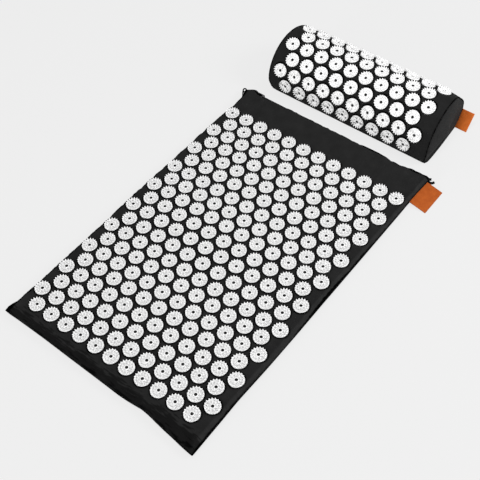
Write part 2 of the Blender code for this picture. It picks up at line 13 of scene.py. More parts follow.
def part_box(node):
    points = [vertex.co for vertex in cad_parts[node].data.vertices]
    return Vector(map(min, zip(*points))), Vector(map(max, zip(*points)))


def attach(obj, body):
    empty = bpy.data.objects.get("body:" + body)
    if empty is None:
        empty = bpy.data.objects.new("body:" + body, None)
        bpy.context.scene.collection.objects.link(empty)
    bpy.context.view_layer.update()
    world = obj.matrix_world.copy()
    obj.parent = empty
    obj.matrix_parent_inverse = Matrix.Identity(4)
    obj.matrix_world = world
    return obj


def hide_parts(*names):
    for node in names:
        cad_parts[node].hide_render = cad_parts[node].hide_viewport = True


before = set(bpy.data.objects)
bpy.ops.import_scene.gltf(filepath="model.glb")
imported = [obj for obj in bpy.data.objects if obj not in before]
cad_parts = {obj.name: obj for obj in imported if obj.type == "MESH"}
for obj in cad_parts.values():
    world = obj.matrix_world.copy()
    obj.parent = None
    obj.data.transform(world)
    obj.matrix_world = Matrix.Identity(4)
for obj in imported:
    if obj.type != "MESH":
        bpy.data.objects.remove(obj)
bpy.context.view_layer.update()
MM = 0.001

# Camera of the photograph: place, and the directions of its right, up and back sides
CAMERA_PLACE = (0.7087, -0.7484, 1.3293)
CAMERA_RIGHT = (0.7835, 0.6194, -0.0502)
CAMERA_UP = (-0.4638, 0.6366, 0.6161)
CAMERA_BACK = (0.4135, -0.4595, 0.7861)
CAMERA_LENS = 70.66
CAMERA_SENSOR = 36.0

# Background, floor and lamps
FLOOR_REACH = 6.0
FLOOR_TONE = 0.858
FLOOR_WHITE = 0.82
FLOOR_SHADE_SHARE = 0.10
WORLD_STRENGTH = 0.40
LAMP_AIM = (0.0, 0.1, 0.0)

# Lamps as (name, place, size, power)
LAMPS = (
    ("key", (1.55, 1.05, 1.45), 0.9, 29.0),
    ("top", (0.1, -0.25, 2.7), 0.4, 20.0),
    ("front", (-0.2, -3.4, 1.1), 1.0, 58.0),
)

# Field of discs, the same on the mat and the pillow
DISC_PITCH = 34.5 * MM
ROW_PITCH = 29.15 * MM
DISC_RADIUS = 13.6 * MM
HOLE_RADIUS = 2.65 * MM
PLATE = 1.1 * MM
BOSS_RADIUS = 4.2 * MM
BOSS_HEIGHT = 0.7 * MM
FLARE_RADIUS = 2.8 * MM
SPIKE_FOOT = 1.55 * MM
SPIKE_MIDDLE = 1.15 * MM
MAT_SPIKE_HEIGHT = 3.6 * MM
PILLOW_SPIKE_HEIGHT = 4.0 * MM
SPIKE_TIP = 0.8 * MM
LATHE_STEPS = 48
CONE_STEPS = 10

# Rings of spikes as (count, radius, outward lean)
SPIKE_RINGS = ((16, 11.6 * MM, 1.3 * MM), (9, 7.7 * MM, 0.0))

# Plastic's white, and the painted light and shade on it for the parts of a disc
DISC_WHITE = 0.82
# Painted shade on the floor of each disc's hole
HOLE_PAINTED_SHADE = 0.005
# Painted level of the mat's plates: the same plastic is painted darker here than on the pillow
MAT_PLATE_PAINTED_SHADE = 0.83
# Painted shade round every third spike's foot on the mat
MAT_FOOT_PAINTED_SHADE = 0.78
# Painted highlights: the rims and the spikes' tips are painted whiter than the plates
MAT_RIM_HIGHLIGHT = 1.14
PILLOW_RIM_HIGHLIGHT = 1.20

# Painted light and shade of the pillow's rows, front row first, as (painted level of the plates, painted
# shade round every third spike's foot): the one plastic is painted lighter or darker row by row
PILLOW_ROW_PAINTED_LIGHT_AND_SHADE = ((1.20, 0.0), (1.20, 0.80), (1.12, 1.0), (1.06, 1.0), (1.06, 1.0), (1.12, 1.0), (1.12, 1.0))

# Small drifts of the disc rows from the even lattice, back row first, as (X, Y) in millimetres
ROW_DRIFT_SHARES = (
    (0.6, -1.0), (0.5, -0.7), (0.4, -0.5), (0.4, -0.3), (0.2, -0.1), (-0.2, 0.3), (0.1, -0.2),
    (-0.5, 0.5), (-1.2, 1.1), (-0.9, 0.6), (-0.5, 0.0), (0.2, -0.7), (0.7, -1.0), (0.8, -0.7),
    (0.6, -0.6), (0.4, 0.3), (0.5, 0.1), (0.1, 0.0), (0.0, -0.2), (-0.2, -0.4),
)

# Mat outline and edges
MAT_BACK_ROW_Y = 258.5 * MM
MAT_ROWS = 20
MAT_COLUMNS = 12
MAT_HALF_WIDTH = 211.0 * MM
MAT_FRONT = -341.0 * MM
MAT_BACK = 340.0 * MM
MAT_TOP = 20.0 * MM
SEAM = 8.6 * MM
SIDE_SHOULDER = 6.0 * MM
FRONT_SHOULDER = 24.0 * MM
BACK_SHOULDER = 12.0 * MM
UNDER_SHOULDER = 8.0 * MM

# How far each edge stands in from the straight rectangle, as (place along the edge, inset) in millimetres
FRONT_INSET_SHARES = (
    (-211, 7.5), (-190, 8.4), (-160, 8.5), (-120, 8.3), (-60, 7.0), (0, 6.0), (50, 4.8), (72, 5.7),
    (97, 8.5), (115, 6.9), (130, 4.5), (150, 1.8), (170, -0.3), (190, -3.0), (211, -4.8),
)
LEFT_INSET_SHARES = (
    (-341, -5.4), (-328, -4.6), (-312, -0.8), (-300, 1.8), (-270, 3.0), (-210, 3.4), (-100, 3.8),
    (-30, 2.2), (30, 1.7), (120, 3.6), (220, 4.2), (300, 8.2), (310, 5.6), (318, 1.2), (326, -2.6),
    (333, -3.6), (340, -2.0),
)
RIGHT_INSET_SHARES = (
    (-341, -2.2), (-310, -1.5), (-270, -0.8), (-230, 0.3), (-150, -1.3), (-80, -1.3), (0, -0.4),
    (80, 0.0), (170, 0.6), (240, 1.2), (270, 1.8), (300, 1.4), (340, 0.0),
)
BACK_INSET_SHARES = (
    (-211, 11.0), (-205, 4.9), (-199, -0.5), (-195, -2.6), (-191, -2.4), (-187, 0.6), (-183, 4.6),
    (-179, 7.4), (-174, 8.8), (-166, 8.7), (-150, 6.6), (-130, 5.1), (-110, 4.3), (-50, 2.8), (0, 3.1),
    (60, 2.9), (93, 0.8), (110, 1.5), (130, 3.9), (150, 3.0), (172, -1.0), (211, -2.4),
)
SIDE_BLEND = 14.0 * MM
END_BLEND = 28.0 * MM
EDGE_STEPS = 9
MAT_GRID = 3.0 * MM
ZIP_RIM = 3.0 * MM
MOUTH = 12.0 * MM
FRONT_FOLD = 15.0 * MM
FRONT_FOLD_WIDTH = 2.6 * MM
FRONT_FOLD_DEPTH = 1.3 * MM
CREASE_PLACE = 14.0 * MM
CREASE_WIDTH = 13.0 * MM
CORNER_FOLD = 1.5 * MM
CORNER_FOLD_PLACE = 20.0 * MM
CORNER_FOLD_WIDTH = 14.0 * MM
CORNER_FOLD_COUNT = 9.0
CORNER_FOLD_TURN = 5.0
HEM_EASE = 1.2 * MM

# Cloth: thickness, thread spacing, gloss and sheen, and how far the dent and the painted shade round a disc
# reach
CLOTH = 0.8 * MM
WEAVE_PITCH = 0.42 * MM
COTTON_GLINT = 0.12
COTTON_SHEEN = 0.02
DENT_AND_SHADE_REACH = 20.0 * MM

# Wrinkles of the cloth as (height, layer of the noise, size)
MARGIN_FOLDS = (0.9 * MM, 3.0, 26.0 * MM)
MARGIN_CREASES = (0.45 * MM, 9.0, 9.0 * MM)
FOLD_WANDER = (5.0 * MM, 21.0, 70.0 * MM)
FOLD_BREAKS = (1.6, 31.0, 34.0 * MM)
SIDE_PUCKER = (0.55 * MM, 5.0, 7.5 * MM)
MARGIN_PUCKER = (MM, 6.0, 8.0 * MM)
MAT_SWELL = (0.22 * MM, 1.0, 55.0 * MM)
PANEL_PUCKER = (0.5 * MM, 2.0, 6.5 * MM)
PANEL_SWELL = (0.35 * MM, 4.0, 40.0 * MM)
END_PUCKER = (0.45 * MM, 8.0, 7.0 * MM)
END_SWELL = (0.5 * MM, 12.0, 30.0 * MM)
SEAM_SINK = (0.5 * MM, 14.0, 5.0 * MM)

# How far puckers reach from a seam, their shares at the mat's ends, and how the noise is stretched
SIDE_PUCKER_REACH = 5.0 * MM
PUCKER_REACH = 6.0 * MM
FRONT_PUCKER_SHARE = 0.5
BACK_PUCKER_SHARE = 0.12
FOLD_EVEN_SHARE = 0.55
PUCKER_STRETCH = 0.3
FOLD_STRETCH = 1.6
CREASE_SLANT = 1.4
END_STRETCH = 1.3
PANEL_SWELL_EASE = 10.0 * MM
PANEL_DIP_REACH = 1.5 * MM
END_DIP_SHARE = 0.02
END_PUCKER_SHARE = 0.07
END_SWELL_SHARE = 0.1

# Painted shade: dark lines along the mat's seams with painted light on the slope inside its right edge, and a
# dark band along its front margin, on the weave map
SEAM_LINE_X = 203.0 * MM
SEAM_LINE_V = 75.0 * MM
SEAM_LINE_RUN = 8.0 * MM
BAND_START = MAT_FRONT - MAT_BACK_ROW_Y - 7.0 * MM
BAND_RUN = 40.0 * MM
BAND_WOBBLE = 26.0 * MM
BAND_STREAK = 62.0 * MM
BAND_STRETCH = (1.0, 6.0, 1.0)

# Settling of the mat's upper cloth
PINNED_RIM = 3
PIN_INSET = 0.5 * MM
CLOTH_STRETCH = 12.0
CLOTH_SHEAR = 5.0
CLOTH_BEND = 0.4
SETTLE_FRAMES = 16
SETTLE_QUALITY = 5
MAT_AIR = 0.8
MAT_SLACK = 0.03
MAT_MOST = 1.6 * MM

# Mat's foam
FOAM_EASE = 4.0 * MM
FOAM_INSET = 5.0 * MM
FOAM_ROUND = 9.0 * MM
FOAM_SETBACK = 5.0 * MM
FOAM_FRONT_SLOPE = 16.0 * MM
FOAM_STEPS = 40
FOAM_LEVEL_SHARES = (-1.0, -0.8, -0.45, 0.0, 0.5, 0.85, 1.0)

# Zip
COIL_RADIUS = 1.15 * MM
COIL_WIRE = 0.34 * MM
COIL_PITCH = 1.45 * MM
COIL_SPREAD = 1.05 * MM
COIL_DEPTH = 0.8 * COIL_RADIUS
COIL_POINTS = 8
TAPE = 0.5 * MM
TAPE_START = 1.4 * MM
TAPE_EDGE = 6.0 * MM
TAPE_TUCK = 3.0 * MM
TAPE_TUCK_START = 1.6 * MM
TAPE_TUCK_RUN = 2.4 * MM
TAPE_HEM = 0.3 * MM
TAPE_RIPPLE = 0.08 * MM
TAPE_RIPPLE_TURN = 7.0
TAPE_END_EASE = 1.5 * MM
TAPE_COLUMNS = 60
CHAIN_HALF = 206.0 * MM
CHAIN_Y = 338.35 * MM

# Free ends of the zip: tails at the right, a loop with stem and lead at the left (millimetres, degrees)
TAIL_RADIUS = 2.5 * MM
UPPER_TAIL = ((0.0, 0.0, 1.2), (3.0, 0.4, 1.9), (6.0, 1.4, 3.0), (8.0, 2.4, 3.7), (9.3, 3.1, 3.9))
LOWER_TAIL = ((0.0, 0.0, -1.2), (4.0, 0.2, -2.2), (8.0, 0.4, -3.6), (10.8, 1.4, -4.0), (13.0, 3.6, -4.0),
              (14.2, 6.0, -3.8))
LOOP_CORD = 1.35 * MM
LOOP_RADIUS = 3.3 * MM
LOOP_CENTRE = (-217.0 * MM, 331.7 * MM, 10.6 * MM)
LOOP_START = 200.0
LOOP_SWEEP = 330.0
LOOP_STEPS = 16
LOOP_ACROSS = (0.784, 0.620, 0.0)
LOOP_ALONG = (-0.508, 0.643, 0.573)
LOOP_STEM = ((-208.2, 312.0, 9.2), (-211.4, 317.6, 9.6), (-215.4, 323.2, 9.8), (-218.6, 327.6, 9.8))
LOOP_LEAD = (
    (-214.6, 331.0, 11.6), (-211.0, 333.4, 12.4), (-207.0, 336.2, 12.4), (-203.2, 338.2, 11.6),
    (-199.0, 338.4, 10.4),
)

# Leather tabs
LEATHER = 1.7 * MM
TAB_FLAT_SHARE = 0.96
TAB_FOLD_SHARE = 0.04
TAB_STEPS = 10
TAB_COLUMNS = 18
TAB_LAYER = 0.42 * LEATHER
TAB_RISE = 0.15 * MM
TAB_BEND_STEPS = 6
TAB_CURL = 0.35 * MM
TAB_CURL_TURN = 2.5
TAB_CUT = 0.12 * MM
MAT_TAB_ROOT = (208.6 * MM, 304.3 * MM, 8.6 * MM)
MAT_TAB_SPAN = 59.5 * MM
MAT_TAB_REACH = 35.6 * MM
MAT_TAB_DROOP = math.radians(13.0)
PILLOW_TAB_SPAN = 38.5 * MM
PILLOW_TAB_REACH = 25.8 * MM
PILLOW_TAB_LEAN = math.radians(48.0)
PILLOW_TAB_ROOT = (174.6 * MM, 506.8 * MM, 15.6 * MM)

# Pillow
PILLOW_X = -1.8 * MM
PILLOW_Y = 448.0 * MM
PILLOW_LENGTH = 366.0 * MM
PILLOW_RADIUS = 74.0 * MM
PILLOW_AXIS = 24.2 * MM
PILLOW_MIDDLE = (0.0, 0.5 * PILLOW_AXIS + 20.0 * MM)
PILLOW_ROWS = 7
PILLOW_COLUMNS = 9
PILLOW_FIELD_SHIFT = -5.1 * MM
FIRST_ROW_ANGLE = math.radians(3.4)
ROW_ANGLE = 2.0 * math.atan(ROW_PITCH / 2.0 / PILLOW_RADIUS)
FACET_ROUND = 0.9 * MM
FACET_SHARE = 0.35
FRONT_FOOT = -69.5 * MM
FOOT_ANGLE_SHARE = 0.55
FOOT_LINE = ((FRONT_FOOT, 0.9 * MM), (-70.6 * MM, 3.0 * MM), (-72.0 * MM, 7.5 * MM))
BASE_STEPS = 24
ARC_STEPS = 64
PILLOW_BACK = 70.0 * MM
REAR_ROUND = 28.0 * MM
REAR_STEPS = 10
FALL_STEPS = 5
FLAP_TOP = 11.0 * MM
FLAP_MIDDLE = 8.0 * MM
FLAP_TUCK = 0.2 * MM
PILLOW_ZIP = 38.0 * MM
LEFT_REACH = 184.8 * MM
RIGHT_REACH = 183.2 * MM
LEFT_FOOT_DRAW = 5.5 * MM
RIGHT_FOOT_DRAW = 1.2 * MM
RIGHT_SLUMP = 5.8 * MM
SLUMP_START = (34.0 * MM, 38.0 * MM)
SLUMP_RUN = 16.0 * MM
END_DRAW_HEIGHT = 32.0 * MM
LEFT_BACK_DRAW = 3.5 * MM
RIGHT_BACK_DRAW = 7.0 * MM
BACK_DRAW_START = -45.0 * MM
BACK_DRAW_POWER = 1.3
CORNER_ROUND = 7.0 * MM
CORNER_ROUND_RUN = 13.0 * MM
END_BULGE = 6.0 * MM
END_BULGE_POWER = 2.4
PILLOW_GRID = 3.0 * MM
END_EASE = 26.0 * MM
SEAM_DIP = 1.9 * MM
SEAM_CORD = 1.3 * MM
SEAM_CORD_INSET = 0.4 * MM
PILLOW_FOAM_SHARE = 0.955
PILLOW_FOAM_END_SHARE = 0.94
PILLOW_FOAM_INSET = 3.0 * MM

# Rows of points: from an end seam inwards in millimetres, up an end's dome, and along the pillow's foam
END_ROWS = (0.0, 0.5, 1.0, 1.6, 2.4, 3.4, 4.6, 6.0)
DOME_LEVEL_SHARES = (0.0, 0.008, 0.02, 0.04, 0.08, 0.14, 0.24, 0.38, 0.55, 0.75, 0.9)
STATION_SHARES = (-1.0, -0.96, -0.6, -0.2, 0.2, 0.6, 0.96, 1.0)


def collection(name):
    made = bpy.data.collections.new(name)
    bpy.context.scene.collection.children.link(made)
    return made


PIECES = collection("dressed")
STAGE = collection("studio")


def mesh_object(name, verts, faces, where=None, smooth=True, uvs=None):
    """A mesh object from points and faces, with an optional weave map of one (u, v) a point."""
    mesh = bpy.data.meshes.new(name)
    mesh.from_pydata([tuple(p) for p in verts], [], [tuple(f) for f in faces])
    mesh.update()
    if smooth:
        mesh.shade_smooth()
    if uvs is not None:
        layer = mesh.uv_layers.new(name="weave")
        picked = np.asarray(uvs, dtype=np.float32)
        loops = np.empty(len(mesh.loops), dtype=np.int32)
        mesh.loops.foreach_get("vertex_index", loops)
        layer.data.foreach_set("uv", picked[loops].ravel())
    made = bpy.data.objects.new(name, mesh)
    (where or PIECES).objects.link(made)
    return made


def give(target, **settings):
    """Set several properties of one thing."""
    for key, value in settings.items():
        setattr(target, key, value)
    return target


def add_node(tree, kind, inputs=None, **settings):
    """A node with its settings, and its inputs set to values or linked to outputs of other nodes."""
    made = give(tree.nodes.new(kind), **settings)
    for key, value in (inputs or {}).items():
        if isinstance(value, bpy.types.NodeSocket):
            tree.links.new(value, made.inputs[key])
        else:
            made.inputs[key].default_value = value
    return made


def circle(steps):
    """Cosine and sine of the directions round a full turn."""
    angles = [2.0 * math.pi * k / steps for k in range(steps)]
    return [(math.cos(a), math.sin(a)) for a in angles]


def grid_faces(rows, columns, flip=False):
    """Quads of a grid of points stored row by row."""
    faces = []
    for r in range(rows - 1):
        for c in range(columns - 1):
            a = r * columns + c
            quad = (a, a + 1, a + columns + 1, a + columns)
            faces.append(tuple(reversed(quad)) if flip else quad)
    return faces


def ring_faces(rings, count, first=0, inward=False):
    """Quads between closed rings of points stored ring by ring."""
    faces = []
    for r in range(rings - 1):
        for k in range(count):
            a = first + r * count + k
            b = first + r * count + (k + 1) % count
            faces.append((a, a + count, b + count, b) if inward else (a, b, b + count, a + count))
    return faces


def capped_faces(rings, count):
    """Quads between closed rings, with one face over each end."""
    last = (rings - 1) * count
    return ring_faces(rings, count) + [tuple(reversed(range(count))), tuple(range(last, last + count))]


def fan_faces(first, count, tip, flip):
    """Triangles from a closed ring to a tip."""
    tris = [(first + k, first + (k + 1) % count, tip) for k in range(count)]
    return [tri[::-1] for tri in tris] if flip else tris


def thicken(made, thickness=CLOTH, offset=-1.0):
    """Give a sheet its thickness, under its drawn face or half on each side of it."""
    give(made.modifiers.new("thickness", "SOLIDIFY"), thickness=thickness, offset=offset)


# Materials

class Shader:
    """A Principled material and the few node helpers that the looks need."""

    def __init__(self, name, colour, roughness, glint=0.5, metallic=0.0):
        self.material = bpy.data.materials.new(name)
        self.material.use_nodes = True
        self.tree = self.material.node_tree
        self.base = self.tree.nodes["Principled BSDF"]
        self.set("Base Color", self.colour(colour))
        self.set("Roughness", roughness)
        self.set("Specular IOR Level", glint)
        self.set("Metallic", metallic)

    @staticmethod
    def colour(value):
        """A socket's colour from a colour or a single grey."""
        return (*value, 1.0) if isinstance(value, tuple) else (value, value, value, 1.0)

    def set(self, socket, value):
        self.base.inputs[socket].default_value = value

    def feed(self, socket, source):
        self.tree.links.new(source, self.base.inputs[socket])

    def node(self, kind, inputs=None, **settings):
        return add_node(self.tree, kind, inputs, **settings)

    def place(self):
        """Object coordinates in metres."""
        return self.node("ShaderNodeTexCoord").outputs["Object"]

    def weave_map(self):
        """Place on the cloth or leather in metres."""
        return self.node("ShaderNodeUVMap", uv_map="weave").outputs["UV"]

    def split(self, source):
        """The separate parts of a place."""
        return self.node("ShaderNodeSeparateXYZ", {0: source}).outputs

    def maths(self, operation, *values):
        return self.node("ShaderNodeMath", dict(enumerate(values)), operation=operation).outputs[0]

    def add(self, first, second):
        return self.maths("ADD", first, second)

    def less(self, first, second):
        return self.maths("SUBTRACT", first, second)

    def scaled(self, first, second):
        return self.maths("MULTIPLY", first, second)

    def wave(self, source, pitch):
        """A sine of the given wavelength."""
        return self.maths("SINE", self.scaled(source, 2.0 * math.pi / pitch))

    def runs(self, value, start, run):
        """How far a value is past a start, counted in runs."""
        return self.maths("DIVIDE", self.less(value, start), run)

    def swing(self, source, reach):
        """A noise moved to both sides of zero and scaled."""
        return self.scaled(self.less(source, 0.5), reach)

    def off_lattice(self, value, shift, pitch):
        """Signed distance from a shifted value to the nearest place of an even lattice."""
        moved = self.add(value, shift)
        cell = self.scaled(self.maths("ROUND", self.maths("DIVIDE", moved, pitch)), pitch)
        return self.less(moved, cell)

    def ramp(self, source, *stops):
        made = self.node("ShaderNodeValToRGB", {0: source})
        ramp = made.color_ramp
        while len(ramp.elements) < len(stops):
            ramp.elements.new(0.5)
        for element, (place, value) in zip(ramp.elements, stops):
            element.position = place
            element.color = self.colour(value)
        return made.outputs[0]

    def times(self, first, second):
        """Product of two colours."""
        inputs = {0: 1.0, 6: first, 7: second}
        return self.node("ShaderNodeMix", inputs, data_type="RGBA", blend_type="MULTIPLY").outputs[2]

    def noise(self, source, scale, detail=3.0, roughness=0.55):
        inputs = {"Vector": source, "Scale": scale, "Detail": detail, "Roughness": roughness}
        return self.node("ShaderNodeTexNoise", inputs).outputs["Fac"]

    def pebbles(self, source, scale):
        return self.node("ShaderNodeTexVoronoi", {"Vector": source, "Scale": scale}).outputs["Distance"]

    def bump(self, *heights):
        """Chain bumps of (height, strength, distance) and feed the shader's normal."""
        before = {}
        for height, strength, distance in heights:
            inputs = {"Height": height, "Strength": strength, "Distance": distance, **before}
            before = {"Normal": self.node("ShaderNodeBump", inputs).outputs["Normal"]}
        self.feed("Normal", before["Normal"])


def weave_height(look, uv, pitch):
    """A plain weave: threads over and under by turns."""
    place = look.split(uv)
    return look.scaled(look.wave(place[0], 2.0 * pitch), look.wave(place[1], 2.0 * pitch))


def disc_distance(look, uv, first_half, rows_low, rows_high):
    """Distance from the weave map's point to the nearest disc, far away outside the field."""
    place = look.split(uv)
    start = half_pitch_shift(first_half)
    found = []
    for shift, row_shift, half in ((0.0, 0.0, first_half),
                                   (0.5 * DISC_PITCH, ROW_PITCH, first_half - 0.5 * DISC_PITCH)):
        off_u = look.off_lattice(place[0], shift + start, DISC_PITCH)
        off_v = look.off_lattice(place[1], row_shift, 2.0 * ROW_PITCH)
        gap = look.maths("SQRT", look.add(look.scaled(off_u, off_u), look.scaled(off_v, off_v)))
        centre_u = look.maths("ABSOLUTE", look.less(place[0], off_u))
        centre_v = look.less(place[1], off_v)
        outside = look.maths("GREATER_THAN", centre_u, half + 0.25 * DISC_PITCH)
        below = look.maths("LESS_THAN", centre_v, rows_low - 0.25 * ROW_PITCH)
        above = look.maths("GREATER_THAN", centre_v, rows_high + 0.25 * ROW_PITCH)
        found.append(look.add(gap, look.add(outside, look.add(below, above))))
    return look.maths("MINIMUM", *found)


def half_pitch_shift(first_half):
    """Half a pitch where the full rows have an even count, so that no disc is on the middle line."""
    count = round(2.0 * first_half / DISC_PITCH) + 1
    return 0.5 * DISC_PITCH if count % 2 == 0 else 0.0


def band_shade(look, uv):
    """Painted shade on the front margin: an uneven, streaky band that is darker than the field."""
    drawn = look.node("ShaderNodeMapping", {"Vector": uv, "Scale": BAND_STRETCH})
    wobble = look.swing(look.noise(uv, 16.0), BAND_WOBBLE)
    streak = look.swing(look.noise(drawn.outputs[0], 44.0, 5.0), BAND_STREAK)
    place = look.add(look.split(uv)[1], look.add(wobble, streak))
    past = look.runs(place, BAND_START, BAND_RUN)
    return look.ramp(past, (0.14, 0.14), (0.30, 0.44), (0.68, 0.48), (0.80, 1.0))


def seam_shade(look, uv):
    """Painted shade: a thin dark line along the long edges and along the zip's seam, and painted light on the
    paler slope inside the right edge.
    """
    place = look.split(uv)
    right = look.runs(place[0], SEAM_LINE_X, SEAM_LINE_RUN)
    left = look.runs(-SEAM_LINE_X, place[0], SEAM_LINE_RUN)
    back = look.runs(place[1], SEAM_LINE_V, SEAM_LINE_RUN)
    shade = look.ramp(right, (0.0, 1.0), (0.30, 1.35), (0.80, 1.35), (0.94, 0.08))
    shade = look.times(shade, look.ramp(left, (0.0, 1.0), (0.14, 0.10)))
    return look.times(shade, look.ramp(back, (0.05, 1.0), (0.22, 0.10)))


def cotton(name, grey, first_half=None, rows=None, edges=False):
    """Black cotton canvas with lint, a faint mottle and, in the field, a dent round each disc with a painted
    shade in it; on the mat also painted shade along the seams and the front margin, and painted light on the
    right edge's slope.
    """
    look = Shader(name, grey, 0.86, COTTON_GLINT)
    look.set("Sheen Weight", COTTON_SHEEN)
    look.set("Sheen Roughness", 0.45)
    uv = look.weave_map()
    mottle = look.scaled(look.noise(uv, 38.0, 4.0), 0.7)
    lint = look.scaled(look.noise(uv, 900.0, 2.0, 0.7), 0.3)
    tone = look.ramp(look.add(mottle, lint), (0.36, 0.80 * grey), (0.64, 1.22 * grey))
    weave = weave_height(look, uv, WEAVE_PITCH)
    heights = [(look.noise(uv, 120.0), 0.12, 1.0 * MM), (weave, 0.35, 0.12 * MM)]
    if first_half is not None:
        gap = look.maths("DIVIDE", disc_distance(look, uv, first_half, *rows), DENT_AND_SHADE_REACH)
        # Painted shade: the cloth is darkened in a ring round each disc, where the disc meets it
        ring = look.ramp(gap, (0.72, 0.05), (0.88, 1.0))
        heights.insert(0, (look.ramp(gap, (0.66, 0.0), (0.84, 1.0)), 0.6, 1.2 * MM))
        if edges:
            # Painted shade of the front band and the seams, and painted light on the right slope, on the mat
            # only
            ring = look.times(look.times(ring, band_shade(look, uv)), seam_shade(look, uv))
        tone = look.times(tone, ring)
        # Gloss and sheen drop with the painted shade, so that the shaded cloth stays dark
        look.feed("Specular IOR Level", look.scaled(ring, COTTON_GLINT))
        look.feed("Sheen Weight", look.scaled(ring, COTTON_SHEEN))
    look.feed("Base Color", tone)
    look.bump(*heights)
    return look.material


def disc_plastic(name, white):
    """Moulded white plastic with a faint random grain, times each point's painted light and shade: painted
    highlights on the rim and spikes, painted shade in the hole and round some spikes' feet.
    """
    look = Shader(name, white, 0.42, 0.35)
    painted_shading = look.node("ShaderNodeVertexColor", layer_name="painted_shading").outputs["Color"]
    place = look.place()
    grain = look.ramp(look.noise(place, 260.0, 2.0), (0.30, 0.97 * white), (0.70, 1.02 * white))
    look.feed("Base Color", look.times(painted_shading, grain))
    look.bump((look.noise(place, 1800.0, 2.0), 0.05, 0.2 * MM))
    return look.material


def zip_cloth():
    """Black tape, woven in fine ribs."""
    look = Shader("zip_tape_weave", 0.005, 0.8, 0.06)
    place = look.place()
    parts = look.split(place)
    weave = look.scaled(look.wave(parts[2], 0.7 * MM), look.wave(parts[0], 0.5 * MM))
    tone = look.ramp(look.noise(place, 400.0), (0.3, (0.004, 0.004, 0.0045)), (0.7, (0.008, 0.008, 0.0085)))
    look.feed("Base Color", tone)
    look.bump((weave, 0.4, 0.1 * MM))
    return look.material


def shadow_cord():
    """A near-black matt cord, darker than the cotton beside it and broken into dashes: painted shade in the
    pillow's end seams.
    """
    look = Shader("seam_shadow_cord", 0.003, 0.95, 0.02)
    broken_shade = look.noise(look.place(), 210.0)
    look.feed("Base Color", look.ramp(broken_shade, (0.46, 0.0005), (0.58, 0.011)))
    look.bump((broken_shade, 0.3, 0.2 * MM))
    return look.material


def zip_nylon():
    """Black nylon of the coils, rubbed to an uneven gloss."""
    look = Shader("zip_coil_nylon", (0.0025, 0.0025, 0.003), 0.5, 0.1)
    wear = look.noise(look.place(), 300.0, 2.0)
    look.feed("Roughness", look.ramp(wear, (0.3, 0.30), (0.7, 0.48)))
    look.bump((wear, 0.06, 0.1 * MM))
    return look.material


def zip_metal():
    """Black painted metal, worn brighter where hands and the chain rub it."""
    look = Shader("zip_black_metal", (0.012, 0.012, 0.013), 0.36, metallic=0.4)
    edges = look.node("ShaderNodeNewGeometry").outputs["Pointiness"]
    scuff = look.noise(look.place(), 700.0, 4.0)
    worn = look.scaled(look.ramp(edges, (0.50, 0.0), (0.62, 1.0)), scuff)
    tone = look.ramp(worn, (0.45, (0.008, 0.008, 0.009)), (0.85, (0.05, 0.05, 0.053)))
    look.feed("Base Color", tone)
    look.feed("Roughness", look.ramp(scuff, (0.3, 0.28), (0.7, 0.46)))
    look.bump((scuff, 0.05, 0.1 * MM))
    return look.material


def leather(name, dark, light):
    """Matt orange-brown leather with a pebbled grain and small patches between two tones."""
    look = Shader(name, dark, 0.66, 0.12)
    uv = look.weave_map()
    patch = look.noise(uv, 90.0, 4.0)
    look.feed("Base Color", look.ramp(patch, (0.30, dark), (0.70, light)))
    look.feed("Roughness", look.ramp(patch, (0.3, 0.50), (0.7, 0.66)))
    look.bump((look.noise(uv, 500.0), 0.15, 0.2 * MM), (look.pebbles(uv, 1300.0), 0.22, 0.12 * MM))
    return look.material


def foam():
    """Pale open-celled foam."""
    look = Shader("padding_foam", (0.70, 0.68, 0.60), 0.95)
    place = look.place()
    look.bump((look.pebbles(place, 900.0), 0.4, 0.4 * MM))
    tone = look.ramp(look.noise(place, 60.0), (0.3, (0.66, 0.64, 0.55)), (0.7, (0.73, 0.71, 0.63)))
    look.feed("Base Color", tone)
    return look.material


MAT_FIELD_HALF = (MAT_COLUMNS - 1) / 2.0 * DISC_PITCH
PILLOW_FIELD_HALF = PILLOW_COLUMNS / 2.0 * DISC_PITCH
MAT_COTTON = cotton("mat_cotton", 0.0125, MAT_FIELD_HALF, (-(MAT_ROWS - 1) * ROW_PITCH, 0.0), True)
PLAIN_COTTON = cotton("plain_cotton", 0.0125)
# The end caps' cotton is a slightly lighter grey than the pillow cover's: painted light on the ends
CAP_COTTON = cotton("cap_cotton", 0.0120)
PILLOW_COTTON = cotton("pillow_cotton", 0.0115, PILLOW_FIELD_HALF,
                       (-ROW_PITCH, (PILLOW_ROWS - 2) * ROW_PITCH))
MAT_PLASTIC = disc_plastic("mat_disc_plastic", DISC_WHITE)
PILLOW_PLASTIC = disc_plastic("pillow_disc_plastic", DISC_WHITE)
ZIP_CLOTH = zip_cloth()
ZIP_NYLON = zip_nylon()
SEAM_SHADOW_CORD = shadow_cord()
ZIP_METAL = zip_metal()
MAT_LEATHER = leather("mat_tab_leather", (0.335, 0.066, 0.0075), (0.420, 0.092, 0.0130))
PILLOW_LEATHER = leather("pillow_tab_leather", (0.520, 0.112, 0.0150), (0.640, 0.155, 0.0260))
FOAM_LOOK = foam()


def dress(made, material, body, slot_name, *nodes):
    """Give a piece its material and its body, and hide the CAD nodes it stands for; slot_name is not used."""
    made.data.materials.clear()
    made.data.materials.append(material)
    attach(made, body)
    if nodes:
        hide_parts(*nodes)
    return made


# Camera, floor and lamps

def build_camera():
    data = bpy.data.cameras.new("photo_camera")
    give(data, lens=CAMERA_LENS, sensor_width=CAMERA_SENSOR, clip_end=50.0)
    camera = bpy.data.objects.new("photo_camera", data)
    STAGE.objects.link(camera)
    turn = Matrix((CAMERA_RIGHT, CAMERA_UP, CAMERA_BACK)).transposed()
    camera.matrix_world = Matrix.Translation(CAMERA_PLACE) @ turn.to_4x4()
    bpy.context.scene.camera = camera


